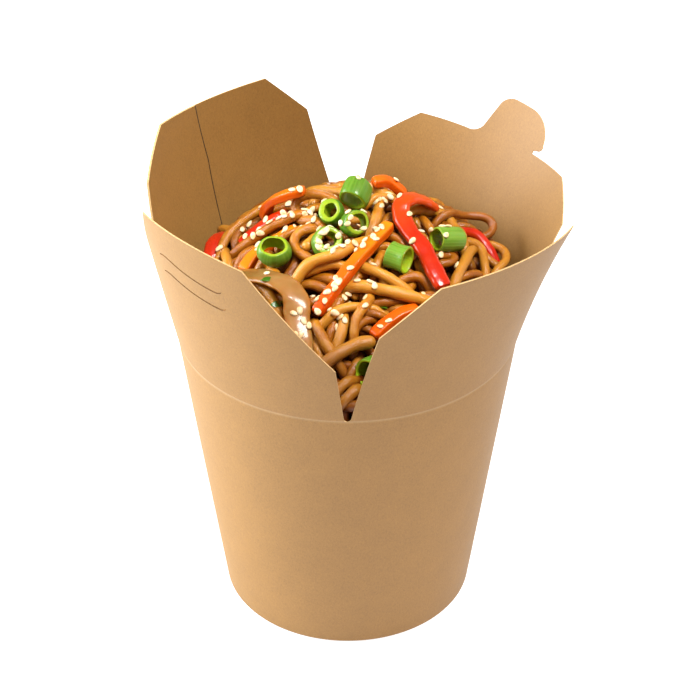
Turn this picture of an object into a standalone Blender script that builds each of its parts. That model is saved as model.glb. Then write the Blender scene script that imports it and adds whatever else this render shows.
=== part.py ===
"""Round-based kraft paper noodle box, standing open and heaped with noodles.

The box is one cone of paper on a recessed base disc.  Four flaps stand up from the crease ring:
  -Y  the locking flap, with two slits
  +X  a plain flap
  +Y  the flap with the hooked tab
  -X  a plain flap, which carries the glued side seam
The frame is +Z up, with the origin under the middle of the whole box's bounds, on the surface that
the box stands on; the cone's axis stands a little beside it, because the flaps lean unevenly.
The food is placed in a frame of its own, turned by 45 degrees about that axis: seen from the front
notch, between the -Y and +X flaps, "right" is its X, "away" is its Y.
Lengths are in metres; MM turns the design's millimetres into metres.
"""
import math

import bmesh
import bpy
from mathutils import Vector

MM = 0.001

# ---- driving dimensions -------------------------------------------------------------------------
PAPER = 0.45 * MM             # board thickness
GAP = 0.3 * MM                # clearance between neighbouring solids
FOOT_RADIUS = 45.0 * MM       # outside, on the table
CREASE_RADIUS = 59.5 * MM     # outside, at the crease ring
CREASE_HEIGHT = 108.9 * MM
HEM_WIDTH = 1.6 * MM          # rolled hem that the box stands on
HEM_HEIGHT = 6.0 * MM
BASE_THICKNESS = 0.6 * MM
WALL_STEPS = 60               # facets round the cone
AXIS_X = -4.1 * MM            # the cone's axis
AXIS_Y = -5.8 * MM

NOTCH_HALF = 1.0 * MM         # half the width of a notch at the crease
FLAP_COLUMN = 7.0 * MM        # facet width across a flap
FLAP_ROW = 20.0 * MM          # facet height up a flap
SLIT_WIDTH = 0.7 * MM

HEAP_RADIUS = 58.2 * MM       # above the crease
HEAP_PEAK = 148.5 * MM        # height of the heap's top
HEAP_PEAK_AWAY = 20.0 * MM    # the peak lies this far behind the axis, seen from the front notch
HEAP_RIM = 121.0 * MM         # mean height where the heap meets the flaps
HEAP_RIM_AWAY = 7.5 * MM      # the rim is this much higher at the back notch, lower at the front
HEAP_RIM_RIGHT = 1.5 * MM     # and this much higher at the right
HEAP_CURVE = 1.5              # power of the heap's fall from peak to rim
HEAP_LUMP = 1.2 * MM          # uneven lumps of the tangled noodles
HEAP_STEPS = 34
HEAP_RINGS = 10

WALL_LEAN = math.atan2(CREASE_RADIUS - FOOT_RADIUS, CREASE_HEIGHT)
FOOD_TURN = math.radians(45.0)

# ---- flap outlines ------------------------------------------------------------------------------
# An outline is cut flat: (s, t) in mm, s across the flap and t up from the crease.
# A bent flap leans outward by lean + twist * angle round the box, plus curl at 60 mm up.
# fan tells how far its rulings spread like the cone's own: 1 is a cone, 0 a cylinder.


def slit(t):
    """One locking slit, 31 mm long and turned up at its end, as a centre line in mm."""
    return [(-17.2, t - 0.2), (-12.2, t + 0.9), (0.0, t - 0.4), (11.8, t - 1.5), (14.2, t - 0.2)]


def bowed_top(half, t, bow, points=7):
    """Points along a flap's top edge, from +half to -half, rising by bow in the middle."""
    steps = [1.0 - 2.0 * i / (points - 1) for i in range(points)]
    return [(half * k, t + bow * (1.0 - k * k)) for k in steps]


def arc(centre, radius, start, end, points):
    """Points on a circular arc, in mm, with start and end in degrees."""
    angles = [math.radians(start + (end - start) * i / (points - 1)) for i in range(points)]
    return [(centre[0] + radius * math.cos(a), centre[1] + radius * math.sin(a)) for a in angles]


TAB_EDGE = (
    [(30.9, 46.6)]
    + arc((12.8, 50.2), 5.1, 280.0, 209.0, 5)
    + arc((0.3, 55.3), 5.3, 22.0, 95.0, 5)
    + arc((-5.6, 49.2), 11.0, 94.0, 173.0, 7)
    + arc((-14.7, 49.9), 2.1, 175.0, 265.0, 4)
    + [(-13.5, 47.2), (-13.5, 46.2), (-30.9, 46.7)]
)

FLAPS = [
    dict(name="flap_slit_front", heading=-90.0, lean=13.4, twist=0.031, curl=-0.013, fan=0.55,
         shoulder=(47.6, 24.9), top=bowed_top(24.9, 65.3, 2.8), slits=[slit(52.6), slit(45.3)]),
    dict(name="flap_plain_right", heading=0.0, lean=12.7, twist=0.066, curl=0.174, fan=0.47,
         shoulder=(44.3, 39.5), top=bowed_top(30.1, 61.7, 2.2), slits=[]),
    dict(name="flap_tab_back", heading=90.0, lean=20.4, twist=-0.046, curl=0.203, fan=0.68,
         shoulder=(44.1, 36.6), top=TAB_EDGE, slits=[]),
    dict(name="flap_seam_left", heading=180.0, lean=18.9, twist=0.031, curl=-0.277, fan=0.72,
         shoulder=(39.1, 48.3), top=bowed_top(24.9, 62.7, -1.2), slits=[]),
]

# ---- toppings, in the food's frame: (right, away, height) in mm ---------------------------------
# Spring onion rings: centre, the way the open end faces, outer radius, wall, length.
SPRING_ONIONS = [
    ((-25, -4, 140.5), (0.0, -0.38, 0.92), 6.0, 1.3, 6.2),
    ((2.7, 13.5, 152.5), (-0.31, -0.89, -0.32), 5.2, 1.2, 7.0),
    ((-5.4, 8.5, 148.2), (-0.35, -0.6, 0.72), 4.6, 1.7, 5.5),
    ((2.4, 0, 149), (0.35, -0.68, 0.6), 4.9, 1.3, 5.5),
    ((-7, -4.3, 144.2), (0.2, -0.6, 0.72), 5.5, 2.2, 5.0),
    ((34, 5, 139.5), (-0.8, -0.5, 0.3), 4.7, 1.1, 9.6),
    ((17.4, -10, 141.5), (0.85, -0.5, -0.02), 4.3, 1.0, 7.0),
    ((8.5, -46, 119.7), (-0.55, -0.73, 0.26), 5.6, 1.2, 8.0),
]

# Strips: the line of the middle, then width and thickness.
CARROTS = [
    ([(14.3, 3, 146.5), (2, -15, 142), (-10.4, -29.5, 132)], 4.4, 4.2),
    ([(-36, -2, 131), (-31.5, 3.5, 134.5), (-25, 6.5, 137.5), (-18, 9.5, 141)], 4.4, 3.4),
    ([(8.5, -36, 127), (13, -32, 129.5), (18, -28.5, 131), (23.5, -26, 131.5)], 4.4, 3.4),
    ([(-29, 22, 138), (-27, 20, 145), (-21, 17, 150), (-15, 15, 153)], 4.4, 3.4),
    ([(9, 24, 151), (14, 26, 150), (20, 26, 145)], 4.6, 3.4),
]
RED_PEPPERS = [
    ([(30, 23, 141.5), (26.5, 20, 146), (22, 16.5, 149), (18.6, 12.5, 149), (18.6, 8, 147),
      (21.2, 2, 144.5), (25.5, -4, 142), (28.5, -11, 139), (32.3, -18, 135)], 6.6, 3.2),
    ([(-37, 12, 133), (-29, 15, 139), (-21, 15, 144)], 5.0, 3.2),
    ([(-43, 27, 127), (-47, 19, 129), (-48, 12, 126)], 5.6, 4.0),
    ([(39, 21, 133), (45, 19, 133), (49, 15, 130), (52, 11, 126)], 3.6, 2.6),
]
ONION_STRIP = ([(-41, -3, 130), (-34, -9, 134), (-27, -14.5, 136.5), (-20.5, -20, 137), (-17.3, -25, 135),
                (-16.8, -30, 131), (-16, -36, 126.5), (-15, -42, 120)], 6.8, 2.2)

# name: (sRGB colour, roughness)
FINISHES = {
    "kraft_paper": ((0.76, 0.60, 0.41), 0.85),
    "noodle": ((0.78, 0.52, 0.22), 0.35),
    "spring_onion": ((0.35, 0.60, 0.16), 0.35),
    "carrot": ((0.94, 0.46, 0.10), 0.35),
    "red_pepper": ((0.84, 0.13, 0.07), 0.25),
    "onion": ((0.82, 0.62, 0.38), 0.30),
}


# ---- scene helpers ------------------------------------------------------------------------------
def clear_scene():
    """Remove every object of the starting scene."""
    for obj in list(bpy.data.objects):
        bpy.data.objects.remove(obj, do_unlink=True)


def new_collection(name):
    """A new collection in the scene."""
    collection = bpy.data.collections.new(name)
    bpy.context.scene.collection.children.link(collection)
    return collection


def finish(name):
    """A Principled material for one of FINISHES."""
    colour, roughness = FINISHES[name]
    material = bpy.data.materials.new(name)
    material.use_nodes = True
    shader = material.node_tree.nodes["Principled BSDF"]
    linear = [((c + 0.055) / 1.055) ** 2.4 for c in colour]
    shader.inputs["Base Color"].default_value = (*linear, 1.0)
    shader.inputs["Roughness"].default_value = roughness
    shader.inputs["Metallic"].default_value = 0.0
    return material


def add_object(name, mesh, collection, material=None, parent=None):
    """Link a mesh as an object, smooth where its facets meet gently."""
    obj = bpy.data.objects.new(name, mesh)
    collection.objects.link(obj)
    obj.parent = parent
    if material:
        mesh.materials.append(material)
    mesh.shade_smooth()
    mesh.set_sharp_from_angle(angle=math.radians(40.0))
    return obj


def add_empty(name, collection, location=(0.0, 0.0, 0.0), turn=0.0, parent=None):
    """An empty that other objects hang on."""
    empty = bpy.data.objects.new(name, None)
    empty.location = location
    empty.rotation_euler.z = turn
    empty.parent = parent
    collection.objects.link(empty)
    return empty


def turned(name, profile, steps, closed):
    """Mesh of a profile of (radius, height) turned round Z; the profile runs down its outer side."""
    mesh = bpy.data.meshes.new(name)
    edges = [(i, i + 1) for i in range(len(profile) - 1)]
    if closed:
        edges.append((len(profile) - 1, 0))
    mesh.from_pydata([(r, 0.0, z) for r, z in profile], edges, [])
    blank = bpy.data.objects.new(name + "_blank", mesh)
    bpy.context.scene.collection.objects.link(blank)
    screw = blank.modifiers.new("turn", "SCREW")
    screw.steps = screw.render_steps = steps
    screw.use_merge_vertices = True
    screw.merge_threshold = 0.00001
    result = bpy.data.meshes.new_from_object(blank.evaluated_get(bpy.context.evaluated_depsgraph_get()))
    bpy.data.objects.remove(blank)
    return result


# ---- the carton ---------------------------------------------------------------------------------
def wall_inside(height):
    """Inner radius of the cone at a height."""
    return FOOT_RADIUS + height * math.tan(WALL_LEAN) - PAPER / math.cos(WALL_LEAN)


def make_wall(collection, material, frame):
    """The paper cone, with the rolled hem that it stands on."""
    profile = [
        (CREASE_RADIUS, CREASE_HEIGHT),
        (FOOT_RADIUS, 0.0),
        (FOOT_RADIUS - HEM_WIDTH, 0.0),
        (FOOT_RADIUS - HEM_WIDTH, HEM_HEIGHT),
        (wall_inside(HEM_HEIGHT), HEM_HEIGHT),
        (wall_inside(CREASE_HEIGHT), CREASE_HEIGHT),
    ]
    mesh = turned("carton_wall", profile, WALL_STEPS, True)
    add_object("carton_wall", mesh, collection, material, frame)


def make_base(collection, material, frame):
    """The base disc, which rests on the hem."""
    low = HEM_HEIGHT + GAP
    high = low + BASE_THICKNESS
    profile = [
        (0.0, high),
        (wall_inside(high) - GAP, high),
        (wall_inside(low) - GAP, low),
        (0.0, low),
    ]
    mesh = turned("base_disc", profile, WALL_STEPS, False)
    add_object("base_disc", mesh, collection, material, frame)


def flap_point(flap, s, t):
    """Where a point of the flat flap goes: X outward, Y round the box, from the crease's middle."""
    around = s / (1.0 + math.sin(WALL_LEAN) * t / CREASE_RADIUS) / CREASE_RADIUS
    lean = math.radians(flap["lean"]) + flap["twist"] * around + flap["curl"] * t / (120.0 * MM)
    ruling = around * flap["fan"]
    return Vector((
        CREASE_RADIUS * (math.cos(around) - 1.0) + t * math.sin(lean) * math.cos(ruling),
        CREASE_RADIUS * math.sin(around) + t * math.sin(lean) * math.sin(ruling),
        t * math.cos(lean),
    ))


def slit_outline(line):
    """Both sides of a slit's centre line, as one closed outline in mm."""
    half = SLIT_WIDTH / MM / 2.0
    return [(s, t - half) for s, t in line] + [(s, t + half) for s, t in reversed(line)]


def flat_cut(name, outlines):
    """Mesh of a flat outline with holes, from a filled 2D curve; outlines are in mm."""
    curve = bpy.data.curves.new(name, "CURVE")
    curve.dimensions = "2D"
    curve.fill_mode = "BOTH"
    for outline in outlines:
        spline = curve.splines.new("POLY")
        spline.points.add(len(outline) - 1)
        for point, (s, t) in zip(spline.points, outline):
            point.co = (s * MM, t * MM, 0.0, 1.0)
        spline.use_cyclic_u = True
    blank = bpy.data.objects.new(name + "_blank", curve)
    bpy.context.scene.collection.objects.link(blank)
    mesh = bpy.data.meshes.new_from_object(blank.evaluated_get(bpy.context.evaluated_depsgraph_get()))
    bpy.data.objects.remove(blank)
    return mesh


def make_flap(flap, collection, material, frame):
    """Cut a flap flat, crease it in columns and rows, bend it, and give it the paper's thickness."""
    foot_half = (CREASE_RADIUS * math.pi / 4.0 - NOTCH_HALF) / MM
    foot = GAP / MM
    shoulder_s, shoulder_t = flap["shoulder"]
    outline = [(-foot_half, foot), (foot_half, foot), (shoulder_s, shoulder_t)]
    outline += flap["top"] + [(-shoulder_s, shoulder_t)]
    mesh = flat_cut(flap["name"], [outline] + [slit_outline(line) for line in flap["slits"]])
    cut = bmesh.new()
    cut.from_mesh(mesh)
    bmesh.ops.remove_doubles(cut, verts=cut.verts, dist=0.00001)
    for axis, pitch, reach in ((0, FLAP_COLUMN, 50.0 * MM), (1, FLAP_ROW, 70.0 * MM)):
        count = int(reach / pitch)
        for i in range(-count, count + 1):
            place, normal = [0.0, 0.0, 0.0], [0.0, 0.0, 0.0]
            place[axis], normal[axis] = i * pitch, 1.0
            bmesh.ops.bisect_plane(cut, geom=cut.verts[:] + cut.edges[:] + cut.faces[:], dist=0.00001,
                                   plane_co=place, plane_no=normal)
    for vertex in cut.verts:
        vertex.co = flap_point(flap, vertex.co.x, vertex.co.y)
    bmesh.ops.recalc_face_normals(cut, faces=cut.faces)
    if sum(face.normal.x for face in cut.faces) < 0.0:
        bmesh.ops.reverse_faces(cut, faces=cut.faces)
    cut.to_mesh(mesh)
    cut.free()
    heading = math.radians(flap["heading"])
    out = Vector((math.cos(heading), math.sin(heading), 0.0))
    obj = add_object(flap["name"], mesh, collection, material, frame)
    obj.location = CREASE_RADIUS * out + Vector((0.0, 0.0, CREASE_HEIGHT))
    obj.rotation_euler.z = heading
    board = obj.modifiers.new("board", "SOLIDIFY")
    board.thickness = PAPER
    board.offset = -1.0
    board.use_even_offset = False


# ---- the food -----------------------------------------------------------------------------------
def heap_point(k, angle):
    """A point of the heap's top: k is 0 at the peak and 1 at the rim, angle is round the rim."""
    rim_right, rim_away = HEAP_RADIUS * math.cos(angle), HEAP_RADIUS * math.sin(angle)
    right = k * rim_right
    away = (1.0 - k) * HEAP_PEAK_AWAY + k * rim_away
    rim = HEAP_RIM + HEAP_RIM_AWAY * math.sin(angle) + HEAP_RIM_RIGHT * math.cos(angle)
    x, y = right / MM, away / MM
    lump = (math.sin(0.55 * x + 0.3 * math.sin(0.21 * y)) * math.cos(0.47 * y + 0.9)
            + 0.6 * math.sin(0.33 * x - 0.62 * y + 1.7))
    height = HEAP_PEAK - (HEAP_PEAK - rim) * k ** HEAP_CURVE + HEAP_LUMP * lump
    return right, away, height


def make_heap(collection, material, frame, cutters):
    """The noodles as one solid: a turned blank that fills the carton, its top raised to the heap."""
    floor = HEM_HEIGHT + 2.0 * GAP + BASE_THICKNESS
    rings = [(HEAP_RADIUS * i / HEAP_RINGS, 1.0) for i in range(HEAP_RINGS + 1)]
    side = [
        (wall_inside(CREASE_HEIGHT) - GAP, CREASE_HEIGHT),
        (wall_inside(floor) - GAP, floor),
        (0.0, floor),
    ]
    mesh = turned("noodle_heap", rings + side, HEAP_STEPS, False)
    for vertex in mesh.vertices:
        if vertex.co.z > 0.5:
            k = math.hypot(vertex.co.x, vertex.co.y) / HEAP_RADIUS
            vertex.co = heap_point(k, math.atan2(vertex.co.y, vertex.co.x))
    heap = add_object("noodle_heap", mesh, collection, material, frame)
    pockets = heap.modifiers.new("pockets", "BOOLEAN")
    pockets.operation = "DIFFERENCE"
    pockets.operand_type = "COLLECTION"
    pockets.collection = cutters
    pockets.solver = "EXACT"


def make_cutter(name, mesh, cutters, frame):
    """A pocket cutter, hidden from the model."""
    cutter = add_object(name, mesh, cutters, None, frame)
    cutter.hide_render = True
    cutter.display_type = "WIRE"
    return cutter


def place_ring(obj, centre, facing):
    """Stand a turned piece at its centre, with its own Z along facing."""
    obj.location = Vector(centre) * MM
    obj.rotation_mode = "QUATERNION"
    obj.rotation_quaternion = Vector(facing).to_track_quat("Z", "Y")


def make_spring_onion(index, spec, collection, material, frame, cutters):
    """One cut ring of spring onion, a little fuller at its middle, and its pocket in the heap."""
    centre, facing, outer, wall, length = spec
    outer, wall, half = outer * MM, wall * MM, length * MM / 2.0
    waist = 0.94
    profile = [
        (outer * waist, half), (outer, 0.0), (outer * waist, -half),
        (outer * waist - wall, -half), (outer - wall, 0.0), (outer * waist - wall, half),
    ]
    name = f"spring_onion_{index}"
    place_ring(add_object(name, turned(name, profile, 14, True), collection, material, frame), centre, facing)
    name = f"spring_onion_pocket_{index}"
    grown, reach = outer + 1.5 * GAP, half + GAP
    pocket = turned(name, [(0.0, reach), (grown, reach), (grown, -reach), (0.0, -reach)], 10, False)
    place_ring(make_cutter(name, pocket, cutters, frame), centre, facing)


def smooth_line(points, count):
    """Read count points, evenly by parameter, from the Catmull-Rom curve through points."""
    known = [Vector(p) for p in points]
    ends = [2.0 * known[0] - known[1]] + known + [2.0 * known[-1] - known[-2]]
    line = []
    for i in range(count):
        u = i * (len(known) - 1) / (count - 1)
        j = min(int(u), len(known) - 2)
        f = u - j
        a, b, c, d = ends[j:j + 4]
        line.append(0.5 * ((2 * b) + (c - a) * f + (2 * a - 5 * b + 4 * c - d) * f * f
                           + (3 * b - a - 3 * c + d) * f ** 3))
    return line


def swept(name, points, width, thickness, count):
    """Mesh of a strip: a rectangle with cut corners carried along a smooth line, all in mm."""
    section = bpy.data.curves.new(name + "_section", "CURVE")
    section.dimensions = "2D"
    corner = 0.3 * thickness
    x, y = width / 2.0, thickness / 2.0
    ring = [(x, corner - y), (x, y - corner), (x - corner, y), (corner - x, y),
            (-x, y - corner), (-x, corner - y), (corner - x, -y), (x - corner, -y)]
    spline = section.splines.new("POLY")
    spline.points.add(len(ring) - 1)
    for point, (u, v) in zip(spline.points, ring):
        point.co = (u * MM, v * MM, 0.0, 1.0)
    spline.use_cyclic_u = True
    section_object = bpy.data.objects.new(name + "_section", section)
    curve = bpy.data.curves.new(name, "CURVE")
    curve.dimensions = "3D"
    curve.twist_mode = "Z_UP"
    curve.bevel_mode = "OBJECT"
    curve.bevel_object = section_object
    curve.use_fill_caps = True
    path = curve.splines.new("POLY")
    path.points.add(count - 1)
    for i, (point, place) in enumerate(zip(path.points, smooth_line(points, count))):
        point.co = (*(place * MM), 1.0)
        point.radius = 0.7 if i in (0, count - 1) else 1.0
    blank = bpy.data.objects.new(name + "_blank", curve)
    for obj in (section_object, blank):
        bpy.context.scene.collection.objects.link(obj)
    mesh = bpy.data.meshes.new_from_object(blank.evaluated_get(bpy.context.evaluated_depsgraph_get()))
    for obj in (section_object, blank):
        bpy.data.objects.remove(obj)
    welded = bmesh.new()
    welded.from_mesh(mesh)
    bmesh.ops.remove_doubles(welded, verts=welded.verts, dist=0.00001)
    bmesh.ops.recalc_face_normals(welded, faces=welded.faces)
    welded.to_mesh(mesh)
    welded.free()
    return mesh


def make_strip(name, spec, collection, material, frame, cutters):
    """One strip of vegetable and its pocket in the heap."""
    points, width, thickness = spec
    count = 3 * len(points)
    add_object(name, swept(name, points, width, thickness, count), collection, material, frame)
    grow = 3.0 * GAP / MM
    pocket = swept(name + "_pocket", longer(points, GAP / MM), width + grow, thickness + grow, count)
    make_cutter(name + "_pocket", pocket, cutters, frame)


def longer(points, extra):
    """The same line with both ends moved out by extra."""
    line = [Vector(p) for p in points]
    line[0] = line[0] + (line[0] - line[1]).normalized() * extra
    line[-1] = line[-1] + (line[-1] - line[-2]).normalized() * extra
    return line


def main():
    """Build the box, its flaps, the heap and the toppings."""
    clear_scene()
    box = new_collection("noodle_box")
    cutters = new_collection("cutters")
    finishes = {name: finish(name) for name in FINISHES}
    axis = add_empty("box_axis", box, (AXIS_X, AXIS_Y, 0.0))
    make_wall(box, finishes["kraft_paper"], axis)
    make_base(box, finishes["kraft_paper"], axis)
    for flap in FLAPS:
        make_flap(flap, box, finishes["kraft_paper"], axis)
    frame = add_empty("food_frame", box, turn=FOOD_TURN, parent=axis)
    for index, spec in enumerate(SPRING_ONIONS, 1):
        make_spring_onion(index, spec, box, finishes["spring_onion"], frame, cutters)
    for kind, specs, material in (("carrot_strip", CARROTS, "carrot"),
                                  ("red_pepper_strip", RED_PEPPERS, "red_pepper")):
        for index, spec in enumerate(specs, 1):
            make_strip(f"{kind}_{index}", spec, box, finishes[material], frame, cutters)
    make_strip("onion_strip", ONION_STRIP, box, finishes["onion"], frame, cutters)
    make_heap(box, finishes["noodle"], frame, cutters)


main()
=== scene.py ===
"""Kraft noodle box: the looks of the paper, the noodles and the vegetables.

The box is kraft board.  Its flaps are bent out at the crease ring, the noodles are separate strands that are
laid on the heap and then settled against each other, and the vegetables have their own cut surfaces.
Lengths in the text below are in millimetres; meshes are in metres.
"""
import math

import bmesh
import bpy
import numpy as np
from bpy.props import FloatProperty, FloatVectorProperty, IntProperty, PointerProperty
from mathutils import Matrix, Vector
from mathutils.bvhtree import BVHTree


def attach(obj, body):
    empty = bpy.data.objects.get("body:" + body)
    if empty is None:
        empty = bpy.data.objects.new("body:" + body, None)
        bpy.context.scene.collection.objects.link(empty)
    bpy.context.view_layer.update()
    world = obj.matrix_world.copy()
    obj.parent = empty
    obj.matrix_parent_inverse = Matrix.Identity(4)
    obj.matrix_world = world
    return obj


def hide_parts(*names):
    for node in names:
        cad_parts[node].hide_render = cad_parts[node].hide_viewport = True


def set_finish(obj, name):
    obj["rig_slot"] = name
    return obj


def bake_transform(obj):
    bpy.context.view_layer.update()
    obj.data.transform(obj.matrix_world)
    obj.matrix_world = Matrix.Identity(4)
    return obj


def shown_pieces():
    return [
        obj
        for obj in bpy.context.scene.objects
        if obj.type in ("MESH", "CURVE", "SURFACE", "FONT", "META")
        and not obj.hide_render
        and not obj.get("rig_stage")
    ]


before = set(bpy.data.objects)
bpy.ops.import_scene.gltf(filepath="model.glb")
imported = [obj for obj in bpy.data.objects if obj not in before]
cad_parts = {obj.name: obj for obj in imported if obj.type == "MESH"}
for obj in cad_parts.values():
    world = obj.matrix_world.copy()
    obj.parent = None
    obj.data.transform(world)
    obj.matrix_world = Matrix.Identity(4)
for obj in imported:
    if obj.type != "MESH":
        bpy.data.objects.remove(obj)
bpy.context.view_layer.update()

bl_info = {
    "name": "Kraft noodle box",
    "version": (1, 0, 0),
    "blender": (4, 5, 0),
    "location": "View3D > Sidebar > Noodle box",
    "description": "Paper skins, noodles and vegetables of a filled noodle box",
    "category": "Object",
}

MM = 0.001
AXIS = np.array([-4.1, -5.8])        # the cone's axis, mm
FOOD_TURN = math.radians(45.0)       # the food's frame: X right and Y away, seen from the front notch

# ---- the box, mm --------------------------------------------------------------------------------
FOOT_RADIUS = 45.0
CREASE_RADIUS = 59.5
CREASE_HEIGHT = 108.9
HEM_WIDTH = 1.6
HEM_HEIGHT = 6.0
WALL_LEAN = math.atan2(CREASE_RADIUS - FOOT_RADIUS, CREASE_HEIGHT)
NOTCH_HALF = 1.0

# ---- the heap, mm -------------------------------------------------------------------------------
HEAP_RADIUS = 58.2
HEAP_PEAK = 148.5
HEAP_PEAK_AWAY = 20.0
HEAP_RIM = 121.0
HEAP_RIM_AWAY = 7.5
HEAP_RIM_RIGHT = 1.5
HEAP_CURVE = 1.5
CORE_DEPTH = 11.0                    # the core, painted dark as the shade between the strands, lies this far under the heap's top


def arc(centre, radius, start, end, points):
    """Points on a circular arc; start and end in degrees."""
    a = np.radians(np.linspace(start, end, points))
    return list(zip(centre[0] + radius * np.cos(a), centre[1] + radius * np.sin(a)))


def bowed_top(half, t, bow, points=15):
    """A flap's top edge from +half to -half: t plus bow times one minus the square of the share."""
    k = np.linspace(1.0, -1.0, points)
    return list(zip(half * k, t + bow * (1.0 - k * k)))


def slit(t):
    """The centre line of a locking slit, turned up at its ends."""
    return [(-17.2, t - 0.2), (-12.2, t + 0.9), (0.0, t - 0.4), (11.8, t - 1.5), (14.2, t - 0.2)]


TAB_EDGE = (
    [(30.9, 46.6)]
    + arc((12.8, 50.2), 5.1, 280.0, 209.0, 11)
    + arc((0.3, 55.3), 5.3, 22.0, 95.0, 11)
    + arc((-5.6, 49.2), 11.0, 94.0, 173.0, 15)
    + arc((-14.7, 49.9), 2.1, 175.0, 265.0, 8)
    + [(-13.5, 47.2), (-13.5, 46.2), (-30.9, 46.7)]
)

FLAPS = [
    dict(skin="slit_flap_skin", node="flap_slit_front", body="slit_front_flap", heading=-90.0,
         lean=13.4, twist=0.031, curl=-0.013, fan=0.55, shoulder=(47.6, 24.9),
         top=bowed_top(24.9, 65.3, 2.8), slits=[slit(52.6), slit(45.3)]),
    dict(skin="plain_flap_skin", node="flap_plain_right", body="plain_right_flap", heading=0.0,
         lean=12.7, twist=0.066, curl=0.174, fan=0.47, shoulder=(44.3, 39.5),
         top=bowed_top(30.1, 61.7, 2.2), slits=[]),
    dict(skin="tab_flap_skin", node="flap_tab_back", body="tab_back_flap", heading=90.0,
         lean=20.4, twist=-0.046, curl=0.203, fan=0.68, shoulder=(44.1, 36.6),
         top=TAB_EDGE, slits=[]),
    dict(skin="seam_flap_skin", node="flap_seam_left", body="seam_left_flap", heading=180.0,
         lean=18.9, twist=0.031, curl=-0.277, fan=0.72, shoulder=(39.1, 48.3),
         top=bowed_top(24.9, 62.7, -1.2), slits=[]),
]
SEAM = [(1.0, 0.0), (1.2, 13.9), (1.9, 39.4), (5.2, 61.6)]   # the left flap's glued edge inside, (s, t)

# ---- vegetables, in the food's frame (right, away, height), mm ----------------------------------
# Spring onion: centre, facing, outer radius, wall, length, paleness of the skin, bulge of the side.
SPRING_ONIONS = [
    ((-25, -4, 140.5), (0.0, -0.38, 0.92), 6.0, 1.0, 6.2, 0.45, 0.20),
    ((2.7, 13.5, 152.5), (-0.31, -0.89, -0.32), 5.3, 1.0, 7.2, 0.35, 0.06),
    ((-5.4, 8.5, 148.2), (-0.35, -0.6, 0.72), 4.7, 1.7, 5.7, 0.05, 0.12),
    ((2.4, 0, 149), (0.35, -0.68, 0.6), 4.9, 1.3, 5.7, 0.10, 0.12),
    ((-7, -4.3, 144.2), (0.2, -0.6, 0.72), 5.6, 2.2, 5.2, 0.30, 0.12),
    ((34, 5, 139.5), (-0.8, -0.5, 0.3), 4.7, 0.8, 9.6, 0.75, 0.05),
    ((17.4, -10, 141.5), (0.85, -0.5, -0.02), 4.4, 0.9, 7.0, 0.65, -0.08),
    ((8.5, -46, 119.7), (-0.55, -0.73, 0.26), 5.7, 1.0, 8.0, 0.45, 0.05),
]
# Strips: the line of the middle, width, thickness.
CARROTS = [
    ([(14.3, 3, 146.5), (2, -15, 142), (-10.4, -29.5, 132)], 4.4, 4.2),
    ([(-36, -2, 131), (-31.5, 3.5, 134.5), (-25, 6.5, 137.5), (-18, 9.5, 141)], 4.4, 3.4),
    ([(8.5, -36, 127), (13, -32, 129.5), (18, -28.5, 131), (23.5, -26, 131.5)], 4.4, 3.4),
    ([(-29, 22, 138), (-27, 20, 145), (-21, 17, 150), (-15, 15, 153)], 4.4, 3.4),
    ([(9, 24, 151), (14, 26, 150), (20, 26, 145)], 4.6, 3.4),
]
CARROT_TINTS = [(1.0, 0.45, 0.1), (0.7, 0.7), (0.2, 0.3), (0.4, 0.6), (0.4, 0.3)]    # 0 red to 1 yellow, along
PEPPER_TINTS = [(0.9, 0.8, 0.5, 0.1, 0.1, 0.1), (0.0, 0.2), (0.2, 0.1), (0.1, 0.0)]
RED_PEPPERS = [
    ([(30, 23, 141.5), (26.5, 20, 146), (22, 16.5, 149), (18.6, 12.5, 149), (18.6, 8, 147),
      (21.2, 2, 144.5), (25.5, -4, 142), (28.5, -11, 139), (32.3, -18, 135)], 6.6, 3.2),
    ([(-37, 12, 133), (-29, 15, 139), (-21, 15, 144)], 5.0, 3.2),
    ([(-43, 27, 127), (-47, 19, 129), (-48, 12, 126)], 5.6, 4.0),
    ([(39, 21, 133), (45, 19, 133), (49, 15, 130), (52, 11, 126)], 3.6, 2.6),
]
ONION_STRIP = ([(-41, -3, 130), (-34, -9, 134), (-27, -14.5, 136.5), (-20.5, -20, 137),
                (-17.3, -25, 135), (-16.8, -30, 131), (-16, -36, 126.5), (-15, -42, 120)], 9.0, 2.2)
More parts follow.
